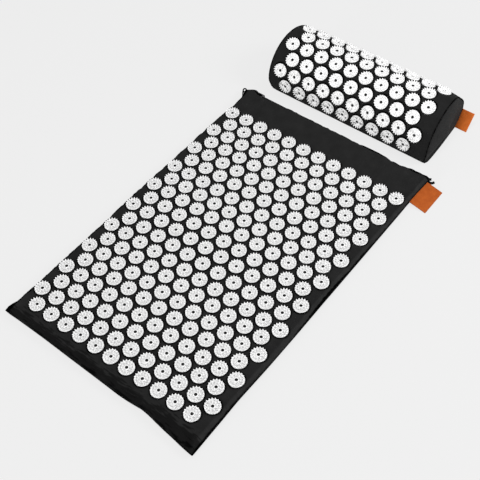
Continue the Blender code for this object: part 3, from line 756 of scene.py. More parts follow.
def backdrop_rays(tree):
    """1 for rays that see the backdrop, straight or through clear things, else 0."""
    path = tree.nodes.new("ShaderNodeLightPath").outputs
    inputs = {0: path["Is Camera Ray"], 1: path["Is Transmission Ray"]}
    return add_node(tree, "ShaderNodeMath", inputs, operation="MAXIMUM").outputs[0]


def floor_material():
    """Pale floor: seen by the camera as the photograph's flat backdrop with a faint shadow."""
    look = Shader("pale_floor", FLOOR_WHITE, 0.9, 0.1)
    glow = look.node("ShaderNodeEmission", {"Color": look.colour(1.0), "Strength": FLOOR_TONE})
    share = look.scaled(backdrop_rays(look.tree), 1.0 - FLOOR_SHADE_SHARE)
    mix = look.node("ShaderNodeMixShader", {0: share, 1: look.base.outputs[0], 2: glow.outputs[0]})
    look.tree.links.new(mix.outputs[0], look.tree.nodes["Material Output"].inputs["Surface"])
    return look.material


def build_studio():
    build_camera()
    reach = FLOOR_REACH
    corners = [(-reach, -reach, 0), (reach, -reach, 0), (reach, reach, 0), (-reach, reach, 0)]
    floor = mesh_object("floor", corners, [(0, 1, 2, 3)], STAGE, smooth=False)
    floor.data.materials.append(floor_material())

    world = bpy.data.worlds.new("studio_world")
    bpy.context.scene.world = world
    world.use_nodes = True
    tree = world.node_tree
    back = tree.nodes["Background"]
    back.inputs["Color"].default_value = (1.0, 1.0, 1.0, 1.0)
    strength = add_node(tree, "ShaderNodeMix", {0: backdrop_rays(tree), 2: WORLD_STRENGTH, 3: FLOOR_TONE})
    tree.links.new(strength.outputs[0], back.inputs["Strength"])

    for name, place, size, power in LAMPS:
        lamp = give(bpy.data.lights.new(name, "AREA"), shape="DISK", size=size, energy=power)
        made = bpy.data.objects.new(name, lamp)
        STAGE.objects.link(made)
        made.location = place
        made.rotation_euler = (Vector(place) - Vector(LAMP_AIM)).to_track_quat("Z", "Y").to_euler()

    bpy.context.scene.view_settings.view_transform = "Standard"


# Spiked discs

def lathe_profile(plate, rim):
    """Radius, height and painted light and shade of the disc's section, from the hole's foot to the rim's
    foot: painted shade on the hole's floor and wall, painted highlights round the hole and on the rim.
    """
    top = BOSS_HEIGHT + PLATE
    lip = PLATE + 0.5 * MM
    return (
        # Painted shade: a near-black floor across the hole and a dark wall inside it
        (0.1 * MM, 0.2 * MM, HOLE_PAINTED_SHADE), (HOLE_RADIUS - 0.1 * MM, 0.2 * MM, HOLE_PAINTED_SHADE),
        (HOLE_RADIUS, 0.6 * MM, HOLE_PAINTED_SHADE), (HOLE_RADIUS, top - 0.3 * MM, 0.04),
        # Painted highlights: a whiter ring round the hole, and on the rim below
        (HOLE_RADIUS + 0.3 * MM, top, 1.05), (BOSS_RADIUS - 0.5 * MM, top, 1.21),
        (BOSS_RADIUS, top - 0.4 * MM, 1.18), (BOSS_RADIUS + 0.3 * MM, PLATE, plate),
        (0.45 * DISC_RADIUS, PLATE, plate), (0.75 * DISC_RADIUS, PLATE, 0.97 * plate),
        (DISC_RADIUS - 2.6 * MM, PLATE, plate), (DISC_RADIUS - 2.0 * MM, lip, rim),
        (DISC_RADIUS - 0.5 * MM, lip, rim), (DISC_RADIUS - 0.1 * MM, PLATE + 0.1 * MM, rim),
        (DISC_RADIUS, PLATE - 0.4 * MM, rim), (DISC_RADIUS, -0.3 * MM, 1.0),
    )


def disc_mesh(plate, rim, height, foot):
    """One disc with its foot at z = 0: points, faces and the painted light and shade of each point."""
    profile = lathe_profile(plate, rim)
    verts = [(radius * c, radius * s, level) for radius, level, painted_shading in profile
             for c, s in circle(LATHE_STEPS)]
    painted_shadings = [painted_shading for radius, level, painted_shading in profile for step in range(LATHE_STEPS)]
    faces = ring_faces(len(profile), LATHE_STEPS, inward=True)
    for ring in SPIKE_RINGS:
        add_spikes(verts, faces, painted_shadings, ring, height, plate, rim, foot)
    return np.array(verts), faces, np.array(painted_shadings)


def add_spikes(verts, faces, painted_shadings, ring, height, plate, tip, foot):
    """Tapered spikes with flared feet and blunt tips round a ring: painted shade on every third flared foot,
    painted highlights on the tips.
    """
    count, radius, lean = ring
    flare = min(FLARE_RADIUS, DISC_RADIUS - radius)
    for k in range(count):
        # Painted shade on the flare of every third spike's foot, the others at the plate's painted level
        shade = 1.05 * plate if k % 3 else foot
        levels = ((flare, -0.05 * MM, 0.0, shade), (SPIKE_FOOT, 0.12 * MM, 0.0, shade),
                  (0.88 * SPIKE_FOOT, 0.17 * height, 0.1, 0.5 * shade + 0.6),
                  (SPIKE_MIDDLE, 0.55 * height, 0.5, 0.5 * (plate + tip)),
                  (SPIKE_TIP, 0.93 * height, 0.93, tip), (0.4 * SPIKE_TIP, height, 1.0, tip))
        angle = 2.0 * math.pi * (k + 0.5) / count
        first = len(verts)
        for width, rise, tilt, painted_shading in levels:
            centre = radius + lean * tilt
            for c, s in circle(CONE_STEPS):
                x = centre * math.cos(angle) + width * c
                y = centre * math.sin(angle) + width * s
                verts.append((x, y, PLATE + rise))
                painted_shadings.append(painted_shading)
        faces.extend(ring_faces(len(levels), CONE_STEPS, first))
        top = first + (len(levels) - 1) * CONE_STEPS
        faces.append(tuple(range(top, top + CONE_STEPS)))


def disc_row(name, matrices, material, body, disc):
    """Join one row of like discs into one piece."""
    points, disc_faces, disc_painted_shadings = disc
    verts = []
    faces = []
    for number, matrix in enumerate(matrices):
        place = np.array(matrix)
        verts.append(points @ place[:3, :3].T + place[:3, 3])
        first = number * len(points)
        faces.extend(tuple(first + i for i in face) for face in disc_faces)
    made = mesh_object(name, np.concatenate(verts), faces)
    # The discs' painted light and shade, kept as a colour on their points
    layer = made.data.color_attributes.new("painted_shading", "FLOAT_COLOR", "POINT")
    painted_shading = np.tile(disc_painted_shadings, len(matrices))
    colours = np.column_stack([painted_shading, painted_shading, painted_shading, np.ones_like(painted_shading)])
    layer.data.foreach_set("color", colours.ravel().astype(np.float32))
    made.data.set_sharp_from_angle(angle=math.radians(40.0))
    return dress(made, material, body, "spiked_cloth")


def row_columns(row):
    """How many discs a row of the mat has."""
    return MAT_COLUMNS - row % 2


def mat_disc_place(row, column):
    """Place of a disc in the mat's field, with its row's drift."""
    drift = ROW_DRIFT_SHARES[row]
    x = (column - (row_columns(row) - 1) / 2.0) * DISC_PITCH + drift[0] * MM
    return x, MAT_BACK_ROW_Y - row * ROW_PITCH + drift[1] * MM


def build_mat_discs():
    chance = random.Random(7)
    disc = disc_mesh(MAT_PLATE_PAINTED_SHADE, MAT_RIM_HIGHLIGHT, MAT_SPIKE_HEIGHT, MAT_FOOT_PAINTED_SHADE)
    for row in range(MAT_ROWS):
        matrices = []
        for column in range(row_columns(row)):
            turn = Matrix.Rotation(chance.uniform(0.0, 2.0 * math.pi), 4, "Z")
            tilt = Matrix.Rotation(math.radians(chance.gauss(0.0, 0.5)), 4, "X")
            side = Matrix.Rotation(math.radians(chance.gauss(0.0, 0.5)), 4, "Y")
            place = Matrix.Translation((*mat_disc_place(row, column), MAT_TOP))
            matrices.append(place @ tilt @ side @ turn)
        disc_row("mat_discs_%02d" % (row + 1), matrices, MAT_PLASTIC, "mat", disc)


def build_pillow_discs():
    chance = random.Random(11)
    for row in range(PILLOW_ROWS):
        angle = FIRST_ROW_ANGLE + row * ROW_ANGLE
        y = PILLOW_Y - PILLOW_RADIUS * math.cos(angle)
        z = PILLOW_AXIS + PILLOW_RADIUS * math.sin(angle)
        count = PILLOW_COLUMNS + row % 2
        face = Matrix.Rotation(math.pi / 2.0 - angle, 4, "X")
        matrices = []
        for column in range(count):
            x = PILLOW_X + PILLOW_FIELD_SHIFT + (column - (count - 1) / 2.0) * DISC_PITCH
            turn = Matrix.Rotation(chance.uniform(0.0, 2.0 * math.pi), 4, "Z")
            matrices.append(Matrix.Translation((x, y, z)) @ face @ turn)
        # This row's painted light on its plates and painted shade round its spikes' feet
        plate, foot = PILLOW_ROW_PAINTED_LIGHT_AND_SHADE[row]
        disc = disc_mesh(plate, PILLOW_RIM_HIGHLIGHT, PILLOW_SPIKE_HEIGHT, foot)
        disc_row("pillow_discs_%02d" % (row + 1), matrices, PILLOW_PLASTIC, "pillow", disc)


# Mat covers

def edge_distances(reach):
    """Distances from an edge over its rounded shoulder."""
    angles = [math.pi / 2.0 * k / EDGE_STEPS for k in range(EDGE_STEPS + 1)]
    return [reach * (1.0 - math.cos(a)) for a in angles]


def spaced(low_reach, high_reach, length, step):
    """Places from 0 to length, dense on both shoulders."""
    low = edge_distances(low_reach)
    high = [length - d for d in edge_distances(high_reach)]
    inner = length - low_reach - high_reach
    count = max(2, round(inner / step))
    middle = [low_reach + inner * k / count for k in range(1, count)]
    return low + middle + list(reversed(high))


def shoulder(distance, reach):
    """Height share of an elliptical shoulder at a distance from the edge."""
    inside = max(0.0, 1.0 - distance / reach)
    return math.sqrt(max(0.0, 1.0 - inside * inside))


def row_drift(y):
    """Drift of the disc field at a place along the mat, eased between the rows."""
    place = (MAT_BACK_ROW_Y - y) / ROW_PITCH
    return [float(np.interp(place, range(MAT_ROWS), drifts)) * MM for drifts in zip(*ROW_DRIFT_SHARES)]


def inset(table, place):
    """Inset of an edge at a place along it."""
    return float(np.interp(place / MM, [row[0] for row in table], [row[1] for row in table])) * MM


def fading(distance, reach):
    """How much of an edge's inset a point feels, from 1 on the edge to 0 at the reach."""
    return max(0.0, 1.0 - max(0.0, distance) / reach) ** 2


def outline_warp(x, y):
    """Move a point of the true rectangle to the photographed outline."""
    left = inset(LEFT_INSET_SHARES, y) * fading(x + MAT_HALF_WIDTH, SIDE_BLEND)
    right = inset(RIGHT_INSET_SHARES, y) * fading(MAT_HALF_WIDTH - x, SIDE_BLEND)
    front = inset(FRONT_INSET_SHARES, x) * fading(y - MAT_FRONT, END_BLEND)
    back = inset(BACK_INSET_SHARES, x) * fading(MAT_BACK - y, END_BLEND)
    return x + left - right, y + front - back


def open_share(y):
    """How open the seam is for the zip: full along the back edge, closing round its corners."""
    return min(1.0, max(0.0, 1.0 - (MAT_BACK - y) / MOUTH))


def fabric_noise(x, y, z=0.0, scale=1.0):
    return noise.noise(Vector((x / scale, y / scale, z)))


def wrinkle(kind, x, y):
    """Height of one kind of wrinkle at a place."""
    height, layer, size = kind
    return height * fabric_noise(x, y, layer, size)


def crease_height(x, y):
    """Puckers along the seams, the loose front margin's creases and the gathered corners."""
    side = min(x + MAT_HALF_WIDTH, MAT_HALF_WIDTH - x)
    front = y - MAT_FRONT
    back = MAT_BACK - y
    near_front = math.exp(-((front - CREASE_PLACE) / CREASE_WIDTH) ** 2)
    folds = wrinkle(MARGIN_FOLDS, x, y * FOLD_STRETCH)
    height = near_front * (folds + wrinkle(MARGIN_CREASES, x * CREASE_SLANT + y, y))
    wander = wrinkle(FOLD_WANDER, x, 0.0)
    groove = math.exp(-((front - FRONT_FOLD - wander) / FRONT_FOLD_WIDTH) ** 2)
    height -= groove * FRONT_FOLD_DEPTH * max(0.0, FOLD_EVEN_SHARE + wrinkle(FOLD_BREAKS, x, 0.0))
    height += math.exp(-side / SIDE_PUCKER_REACH) * wrinkle(SIDE_PUCKER, y, x * PUCKER_STRETCH)
    near_end = FRONT_PUCKER_SHARE * math.exp(-front / PUCKER_REACH)
    near_end += BACK_PUCKER_SHARE * math.exp(-back / PUCKER_REACH)
    height += near_end * wrinkle(MARGIN_PUCKER, x, y * PUCKER_STRETCH)
    height += wrinkle(MAT_SWELL, x, y)
    for corner_x in (-MAT_HALF_WIDTH, MAT_HALF_WIDTH):
        away = math.hypot(x - corner_x, y - MAT_FRONT)
        angle = math.atan2(y - MAT_FRONT, abs(x - corner_x))
        fold = math.sin(angle * CORNER_FOLD_COUNT + CORNER_FOLD_TURN * corner_x / MAT_HALF_WIDTH)
        height += CORNER_FOLD * fold * math.exp(-((away - CORNER_FOLD_PLACE) / CORNER_FOLD_WIDTH) ** 2)
    return height * min(1.0, min(side, front, back) / HEM_EASE)


def cover_points(upper):
    """Grid of the mat's upper or lower cover with its weave map."""
    width = 2.0 * MAT_HALF_WIDTH
    length = MAT_BACK - MAT_FRONT
    if upper:
        xs = spaced(SIDE_SHOULDER, SIDE_SHOULDER, width, MAT_GRID)
        ys = spaced(FRONT_SHOULDER, BACK_SHOULDER, length, MAT_GRID)
        reaches = (SIDE_SHOULDER, FRONT_SHOULDER, BACK_SHOULDER)
    else:
        xs = spaced(UNDER_SHOULDER, UNDER_SHOULDER, width, 3.0 * MAT_GRID)
        ys = spaced(UNDER_SHOULDER, UNDER_SHOULDER, length, 3.0 * MAT_GRID)
        reaches = (UNDER_SHOULDER,) * 3
    sign = 1.0 if upper else -1.0
    face = MAT_TOP if upper else 0.0
    verts = []
    uvs = []
    for dy in ys:
        for dx in xs:
            x = dx - MAT_HALF_WIDTH
            y = dy + MAT_FRONT
            side = shoulder(min(dx, width - dx), reaches[0])
            end = shoulder(dy, reaches[1]) * shoulder(length - dy, reaches[2])
            rim = SEAM + sign * (0.15 * MM + open_share(y) * ZIP_RIM)
            z = rim + (face - rim) * side * end
            if upper:
                z += crease_height(x, y)
            px, py = outline_warp(x, y)
            verts.append((px, py, z))
            drift = row_drift(y)
            uvs.append((x - drift[0], y - drift[1] - MAT_BACK_ROW_Y))
    return verts, uvs, len(ys), len(xs)


def settle(made, pins):
    """Let the cloth find its folds between pinned seams and discs, with slack and a little air inside."""
    group = made.vertex_groups.new(name="pins")
    group.add(pins, 1.0, "REPLACE")
    change = made.modifiers.new("settle", "CLOTH")
    cloth = change.settings
    give(cloth, quality=SETTLE_QUALITY, vertex_group_mass="pins", tension_stiffness=CLOTH_STRETCH,
         compression_stiffness=CLOTH_STRETCH, shear_stiffness=CLOTH_SHEAR, bending_stiffness=CLOTH_BEND,
         shrink_min=-MAT_SLACK, shrink_max=-MAT_SLACK, use_pressure=True, uniform_pressure_force=MAT_AIR)
    cloth.effector_weights.gravity = 0.0
    change.collision_settings.use_collision = False
    give(change.point_cache, frame_start=1, frame_end=SETTLE_FRAMES)
    scene = bpy.context.scene
    for step in range(1, SETTLE_FRAMES + 1):
        scene.frame_set(step)
    settled = made.evaluated_get(bpy.context.evaluated_depsgraph_get())
    count = len(made.data.vertices)
    before = np.empty(count * 3, dtype=np.float32)
    after = np.empty(count * 3, dtype=np.float32)
    made.data.vertices.foreach_get("co", before)
    settled.data.vertices.foreach_get("co", after)
    move = (after - before).reshape(-1, 3)
    size = np.linalg.norm(move, axis=1, keepdims=True)
    move *= MAT_MOST / np.maximum(MAT_MOST, size)
    made.modifiers.remove(change)
    made.vertex_groups.remove(group)
    made.data.vertices.foreach_set("co", (before.reshape(-1, 3) + move).ravel())
    made.data.update()
    scene.frame_set(1)


def near_disc(x, y):
    """Whether a place of the mat lies under a disc."""
    row = min(MAT_ROWS - 1, max(0, round((MAT_BACK_ROW_Y - y) / ROW_PITCH)))
    count = row_columns(row)
    column = (x - ROW_DRIFT_SHARES[row][0] * MM) / DISC_PITCH + (count - 1) / 2.0
    disc_x, disc_y = mat_disc_place(row, min(count - 1, max(0, round(column))))
    return math.hypot(x - disc_x, y - disc_y) < DISC_RADIUS - PIN_INSET


def build_mat_cloth():
    verts, uvs, rows, columns = cover_points(True)
    top = mesh_object("mat_cloth_top", verts, grid_faces(rows, columns), uvs=uvs)
    pins = []
    for index, (x, y, z) in enumerate(verts):
        row, column = divmod(index, columns)
        rim = min(row, rows - 1 - row, column, columns - 1 - column) < PINNED_RIM
        if rim or near_disc(x, y):
            pins.append(index)
    settle(top, pins)
    thicken(top)
    dress(top, MAT_COTTON, "mat", "spiked_cloth", "mat_top_cover")
    verts, uvs, rows, columns = cover_points(False)
    under = mesh_object("mat_cloth_under", verts, grid_faces(rows, columns, flip=True), uvs=uvs)
    thicken(under)
    dress(under, PLAIN_COTTON, "mat", "black_cloth", "mat_bottom_cover")


def build_mat_foam():
    """The slab inside, a little smaller than the covers, set back from the zip."""
    verts = []
    for level in FOAM_LEVEL_SHARES:
        inset = FOAM_INSET + FOAM_ROUND * (1.0 - math.sqrt(max(0.0, 1.0 - level * level)))
        room = MAT_TOP - FOAM_EASE - SEAM if level > 0.0 else SEAM - FOAM_EASE
        height = SEAM + room * level
        right = MAT_HALF_WIDTH - inset
        front = MAT_FRONT + inset + FOAM_FRONT_SLOPE * max(0.0, level)
        back = MAT_BACK - inset - FOAM_SETBACK
        corners = ((-right, front), (right, front), (right, back), (-right, back), (-right, front))
        for (x, y), (to_x, to_y) in zip(corners, corners[1:]):
            for step in range(FOAM_STEPS):
                share = step / FOAM_STEPS
                verts.append((*outline_warp(x + (to_x - x) * share, y + (to_y - y) * share), height))
    faces = capped_faces(len(FOAM_LEVEL_SHARES), 4 * FOAM_STEPS)
    slab = mesh_object("mat_foam_slab", verts, faces, smooth=False)
    dress(slab, FOAM_LOOK, "mat", "foam", "mat_foam_core")


# Zips

def tube(name, points, radius, steps=6):
    """A closed round tube of the given radius along a list of points."""
    points = [Vector(p) for p in points]
    verts = []
    normal = None
    for k, point in enumerate(points):
        ahead = points[min(k + 1, len(points) - 1)]
        along = (ahead - points[max(k - 1, 0)]).normalized()
        if normal is None:
            normal = along.orthogonal().normalized()
        normal = (normal - along * normal.dot(along)).normalized()
        across = along.cross(normal)
        verts.extend(point + radius * (c * normal + s * across) for c, s in circle(steps))
    return mesh_object(name, verts, capped_faces(len(points), steps))


def coil_points(left, right, y, z, side):
    """A flattened spiral along X: the teeth of one half of the zip."""
    turns = int((right - left) / COIL_PITCH)
    phase = 0.0 if side > 0.0 else math.pi
    points = []
    for k in range(turns * COIL_POINTS + 1):
        angle = 2.0 * math.pi * k / COIL_POINTS + phase
        x = left + k / COIL_POINTS * COIL_PITCH
        rise = side * COIL_SPREAD - COIL_RADIUS * math.cos(angle)
        points.append((x, y + COIL_DEPTH * math.sin(angle), z + rise))
    return points


def build_tape(name, left, right, y, z, side, body, node):
    """One flat tape with a folded edge, and its coil beside it."""
    low, high = sorted((side * TAPE_START, side * TAPE_EDGE))
    levels = (low, low + TAPE_HEM, (low + high) / 2.0, high - TAPE_HEM, high)
    verts = []
    for level in levels:
        tuck = TAPE_TUCK * min(1.0, max(0.0, abs(level) - TAPE_TUCK_START) / TAPE_TUCK_RUN)
        for c in range(TAPE_COLUMNS + 1):
            x = left + (right - left) * c / TAPE_COLUMNS
            verts.append((x, y - tuck + TAPE_RIPPLE * math.sin(TAPE_RIPPLE_TURN * x / MM), z + level))
    made = mesh_object(name, verts, grid_faces(len(levels), TAPE_COLUMNS + 1))
    thicken(made, TAPE, 0.0)
    dress(made, ZIP_CLOTH, body, "zip_tape", node)
    coil = tube(name + "_coil", coil_points(left, right, y, z, side), COIL_WIRE, 5)
    dress(coil, ZIP_NYLON, body, "zip_tape")


def build_zips():
    left = PILLOW_X - end_reach(PILLOW_BACK, PILLOW_ZIP, -1.0) + TAPE_END_EASE
    right = PILLOW_X + end_reach(PILLOW_BACK, PILLOW_ZIP, 1.0) - TAPE_END_EASE
    for side, word in ((1.0, "upper"), (-1.0, "lower")):
        node = "mat_zip_tape_" + word
        build_tape("mat_tape_" + word, -CHAIN_HALF, CHAIN_HALF, CHAIN_Y, SEAM, side, "mat", node)
        node = "pillow_zip_tape_" + word
        low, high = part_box(node)
        middle = (low[1] + high[1]) / 2.0
        build_tape("pillow_tape_" + word, left, right, middle, PILLOW_ZIP, side, "pillow", node)
    for node in ("mat_zip_slider", "mat_zip_pull", "pillow_zip_slider", "pillow_zip_pull"):
        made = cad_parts[node]
        made.data.materials.clear()
        made.data.materials.append(ZIP_METAL)
    build_loose_ends()


def loose_end(name, points, steps, radius, sides):
    """One free end of the coil along its route."""
    end = tube(name, smooth_route(points, steps), radius, sides)
    dress(end, ZIP_NYLON, "mat", "zip_tape")


def build_loose_ends():
    """The coil's free ends at the mat's back corners: a small loop at the left, two tails at the right."""
    points = [Vector(point) * MM for point in LOOP_STEM]
    for step in range(LOOP_STEPS + 1):
        angle = math.radians(LOOP_START - LOOP_SWEEP * step / LOOP_STEPS)
        spread = math.cos(angle) * Vector(LOOP_ACROSS) + math.sin(angle) * Vector(LOOP_ALONG)
        points.append(Vector(LOOP_CENTRE) + LOOP_RADIUS * spread)
    loose_end("mat_zip_end_loop", points, 3, LOOP_CORD, 10)
    loose_end("mat_zip_end_lead", [Vector(point) * MM for point in LOOP_LEAD], 4, LOOP_CORD, 10)
    start = CHAIN_HALF - 1.0 * MM
    for name, route in (("mat_zip_end_upper", UPPER_TAIL), ("mat_zip_end_lower", LOWER_TAIL)):
        points = [(start + dx * MM, CHAIN_Y + dy * MM, SEAM + dz * MM) for dx, dy, dz in route]
        loose_end(name, points, 5, TAIL_RADIUS, 12)


def smooth_route(points, steps):
    """Points of a smooth curve that passes through every point of a route."""
    points = [Vector(p) for p in points]
    padded = [2.0 * points[0] - points[1]] + points + [2.0 * points[-1] - points[-2]]
    out = []
    for k in range(1, len(padded) - 2):
        a, b, c, d = padded[k - 1:k + 3]
        for step in range(steps):
            t = step / steps
            out.append(0.5 * ((2.0 * b) + (c - a) * t + (2.0 * a - 5.0 * b + 4.0 * c - d) * t * t
                              + (3.0 * b - a - 3.0 * c + d) * t ** 3))
    out.append(points[-1])
    return out


# Leather tabs

def build_tab(name, root, span, reach, turn, material, body, node):
    """A strip of leather folded double: two layers with their fold at the free end."""
    bend = LEATHER / 2.0 - TAB_LAYER / 2.0
    flat = reach * TAB_FLAT_SHARE
    fold = reach * TAB_FOLD_SHARE - TAB_LAYER / 2.0
    path = [(0.0, bend)]
    for k in range(1, TAB_STEPS + 1):
        path.append((flat * k / TAB_STEPS, bend + TAB_RISE * math.sin(math.pi * k / TAB_STEPS)))
    for k in range(1, TAB_BEND_STEPS):
        angle = math.pi / 2.0 - math.pi * k / TAB_BEND_STEPS
        path.append((flat + fold * math.cos(angle), bend * math.sin(angle)))
    for k in range(TAB_STEPS, -1, -1):
        path.append((flat * k / TAB_STEPS, -bend))
    verts = []
    uvs = []
    length = 0.0
    before = path[0]
    for x, z in path:
        length += math.hypot(x - before[0], z - before[1])
        before = (x, z)
        for c in range(TAB_COLUMNS + 1):
            y = span * (c / TAB_COLUMNS - 0.5)
            curl = TAB_CURL * math.sin(math.pi * x / reach) * math.cos(TAB_CURL_TURN * y / span)
            verts.append(turn @ Vector((x, y, z + curl)) + Vector(root))
            uvs.append((length, y))
    made = mesh_object(name, verts, grid_faces(len(path), TAB_COLUMNS + 1), uvs=uvs)
    thicken(made, TAB_LAYER, 0.0)
    give(made.modifiers.new("cut_edges", "BEVEL"), width=TAB_CUT, segments=2, limit_method="ANGLE",
         angle_limit=math.radians(60.0))
    return dress(made, material, body, "leather", node)


def build_tabs():
    droop = Matrix.Rotation(MAT_TAB_DROOP, 3, "Y")
    build_tab("mat_leather_tab", MAT_TAB_ROOT, MAT_TAB_SPAN, MAT_TAB_REACH, droop, MAT_LEATHER,
              "mat", "mat_label")
    lean = Matrix.Rotation(PILLOW_TAB_LEAN, 3, "X")
    build_tab("pillow_leather_tab", PILLOW_TAB_ROOT, PILLOW_TAB_SPAN, PILLOW_TAB_REACH, lean, PILLOW_LEATHER,
              "pillow", "pillow_label")


# Pillow

def section_point(angle, facets):
    """Cloth at the disc rows: flats under the discs where facets is 1, a round where it is 0."""
    turn = (angle - FIRST_ROW_ANGLE) / ROW_ANGLE
    off = (turn - round(turn)) * ROW_ANGLE
    flat = PILLOW_RADIUS / math.cos(off)
    faceted = min(flat, PILLOW_RADIUS + FACET_ROUND + FACET_SHARE * (flat - PILLOW_RADIUS - FACET_ROUND))
    radius = faceted * facets + (PILLOW_RADIUS + FACET_ROUND) * (1.0 - facets)
    return (-radius * math.cos(angle), PILLOW_AXIS + radius * math.sin(angle))


def cover_line(facets=1.0):
    """The cover's section from the front foot over the top to the zip's upper rim."""
    foot_angle = -math.asin(PILLOW_AXIS / PILLOW_RADIUS) * FOOT_ANGLE_SHARE
    last = FIRST_ROW_ANGLE + (PILLOW_ROWS - 0.5) * ROW_ANGLE
    line = list(FOOT_LINE)
    for k in range(ARC_STEPS + 1):
        line.append(section_point(foot_angle + (last - foot_angle) * k / ARC_STEPS, facets))
    end = line[-1]
    target = (PILLOW_BACK, PILLOW_ZIP + FLAP_TOP)
    for k in range(1, FALL_STEPS + 1):
        t = k / FALL_STEPS
        down = 0.5 * t + 0.5 * eased(t)
        y = end[0] + (target[0] - end[0]) * (1.0 - (1.0 - t) ** 2)
        line.append((y, end[1] + (target[1] - end[1]) * down))
    line.append((PILLOW_BACK, PILLOW_ZIP + FLAP_MIDDLE))
    line.append((PILLOW_BACK - FLAP_TUCK, PILLOW_ZIP + ZIP_RIM))
    return line


def base_line():
    """The base panel's section from the front foot along the floor to the zip's lower rim."""
    rear = PILLOW_BACK - REAR_ROUND
    line = [(FRONT_FOOT + (rear - FRONT_FOOT) * k / BASE_STEPS, 0.0) for k in range(BASE_STEPS + 1)]
    for k in range(1, REAR_STEPS + 1):
        angle = math.pi / 2.0 * k / REAR_STEPS
        line.append((rear + REAR_ROUND * math.sin(angle), REAR_ROUND * (1.0 - math.cos(angle))))
    line.append((PILLOW_BACK, PILLOW_ZIP - ZIP_RIM))
    return line


def end_reach(y, height, hand):
    """How far an end seam stands from the middle: drawn in at the foot, the back and the front corner."""
    reach, back_draw, foot = LEFT_REACH, LEFT_BACK_DRAW, LEFT_FOOT_DRAW
    if hand > 0.0:
        reach, back_draw, foot = RIGHT_REACH, RIGHT_BACK_DRAW, RIGHT_FOOT_DRAW
    low = max(1.0 - height / END_DRAW_HEIGHT, 0.0)
    back = max(0.0, (y - BACK_DRAW_START) / (PILLOW_BACK - BACK_DRAW_START))
    corner = max(0.0, 1.0 - (y + PILLOW_RADIUS) / CORNER_ROUND_RUN)
    return reach - back_draw * back ** BACK_DRAW_POWER - (foot + CORNER_ROUND * corner ** 2) * low ** 2


def eased(value):
    """Smooth step from 0 to 1."""
    share = min(1.0, max(0.0, value))
    return share * share * (3.0 - 2.0 * share)


def slumped(y, z, hand):
    """Height of an end seam's point: the right end sags at its upper rear."""
    if hand < 0.0:
        return z
    return z - RIGHT_SLUMP * eased((y - SLUMP_START[0]) / SLUMP_RUN) * eased((z - SLUMP_START[1]) / SLUMP_RUN)


def line_normals(line):
    """Outward normals of the section's points, taken as walked with the outside on the left."""
    out = []
    for k in range(len(line)):
        before = line[max(k - 1, 0)]
        after = line[min(k + 1, len(line) - 1)]
        dy = after[0] - before[0]
        dz = after[1] - before[1]
        size = math.hypot(dy, dz) or 1.0
        out.append((-dz / size, dy / size))
    return out


def panel(name, line, end_line, material, slot_name, node, outward):
    """A cloth panel from one end line over its own line to the other end, puckered at both end seams."""
    lengths = [0.0]
    for a, b in zip(line, line[1:]):
        lengths.append(lengths[-1] + math.hypot(b[0] - a[0], b[1] - a[1]))
    start = arc_start(line, lengths) if node == "pillow_cover" else 0.0
    normals = line_normals(line)
    flat = PILLOW_LENGTH - 2.0 * END_ROWS[-1] * MM
    count = round(flat / PILLOW_GRID)
    shares = [e * MM for e in END_ROWS] + [END_ROWS[-1] * MM + flat * k / count for k in range(1, count)]
    shares += [PILLOW_LENGTH - e * MM for e in reversed(END_ROWS)]
    verts = []
    uvs = []
    for (y, z), (end_y, end_z), (ny, nz), run in zip(line, end_line, normals, lengths):
        low_end = -end_reach(y, z, -1.0)
        high_end = end_reach(y, z, 1.0)
        for d in shares:
            x = low_end + (high_end - low_end) * d / PILLOW_LENGTH
            from_end = min(d, PILLOW_LENGTH - d)
            near = max(0.0, 1.0 - from_end / END_EASE) ** 2
            dip = -SEAM_DIP * math.exp(-from_end / PANEL_DIP_REACH)
            pucker = math.exp(-from_end / PUCKER_REACH) * wrinkle(PANEL_PUCKER, run, x)
            soft = wrinkle(PANEL_SWELL, x, run) * min(1.0, from_end / PANEL_SWELL_EASE)
            lift = (dip + pucker + soft) * outward
            py = y + (end_y - y) * near + ny * lift
            pz = z + (slumped(end_y, end_z, 1.0 if x > 0.0 else -1.0) - z) * near + nz * lift
            verts.append((PILLOW_X + x, PILLOW_Y + py, max(pz, 0.0)))
            uvs.append((x - PILLOW_FIELD_SHIFT, run - start))
    made = mesh_object(name, verts, grid_faces(len(line), len(shares), flip=outward < 0.0), uvs=uvs)
    thicken(made)
    return dress(made, material, "pillow", slot_name, node)


def arc_start(line, lengths):
    """Run along the cover where its second row of discs lies, so that the dents meet the discs."""
    angle = FIRST_ROW_ANGLE + ROW_ANGLE
    target = section_point(angle, 1.0)
    best = min(range(len(line)), key=lambda k: math.hypot(line[k][0] - target[0], line[k][1] - target[1]))
    return lengths[best]


def end_outline():
    """The whole closed D outline of the pillow's ends."""
    cover = cover_line(0.0)
    base = base_line()
    return cover + list(reversed(base))[:-1]


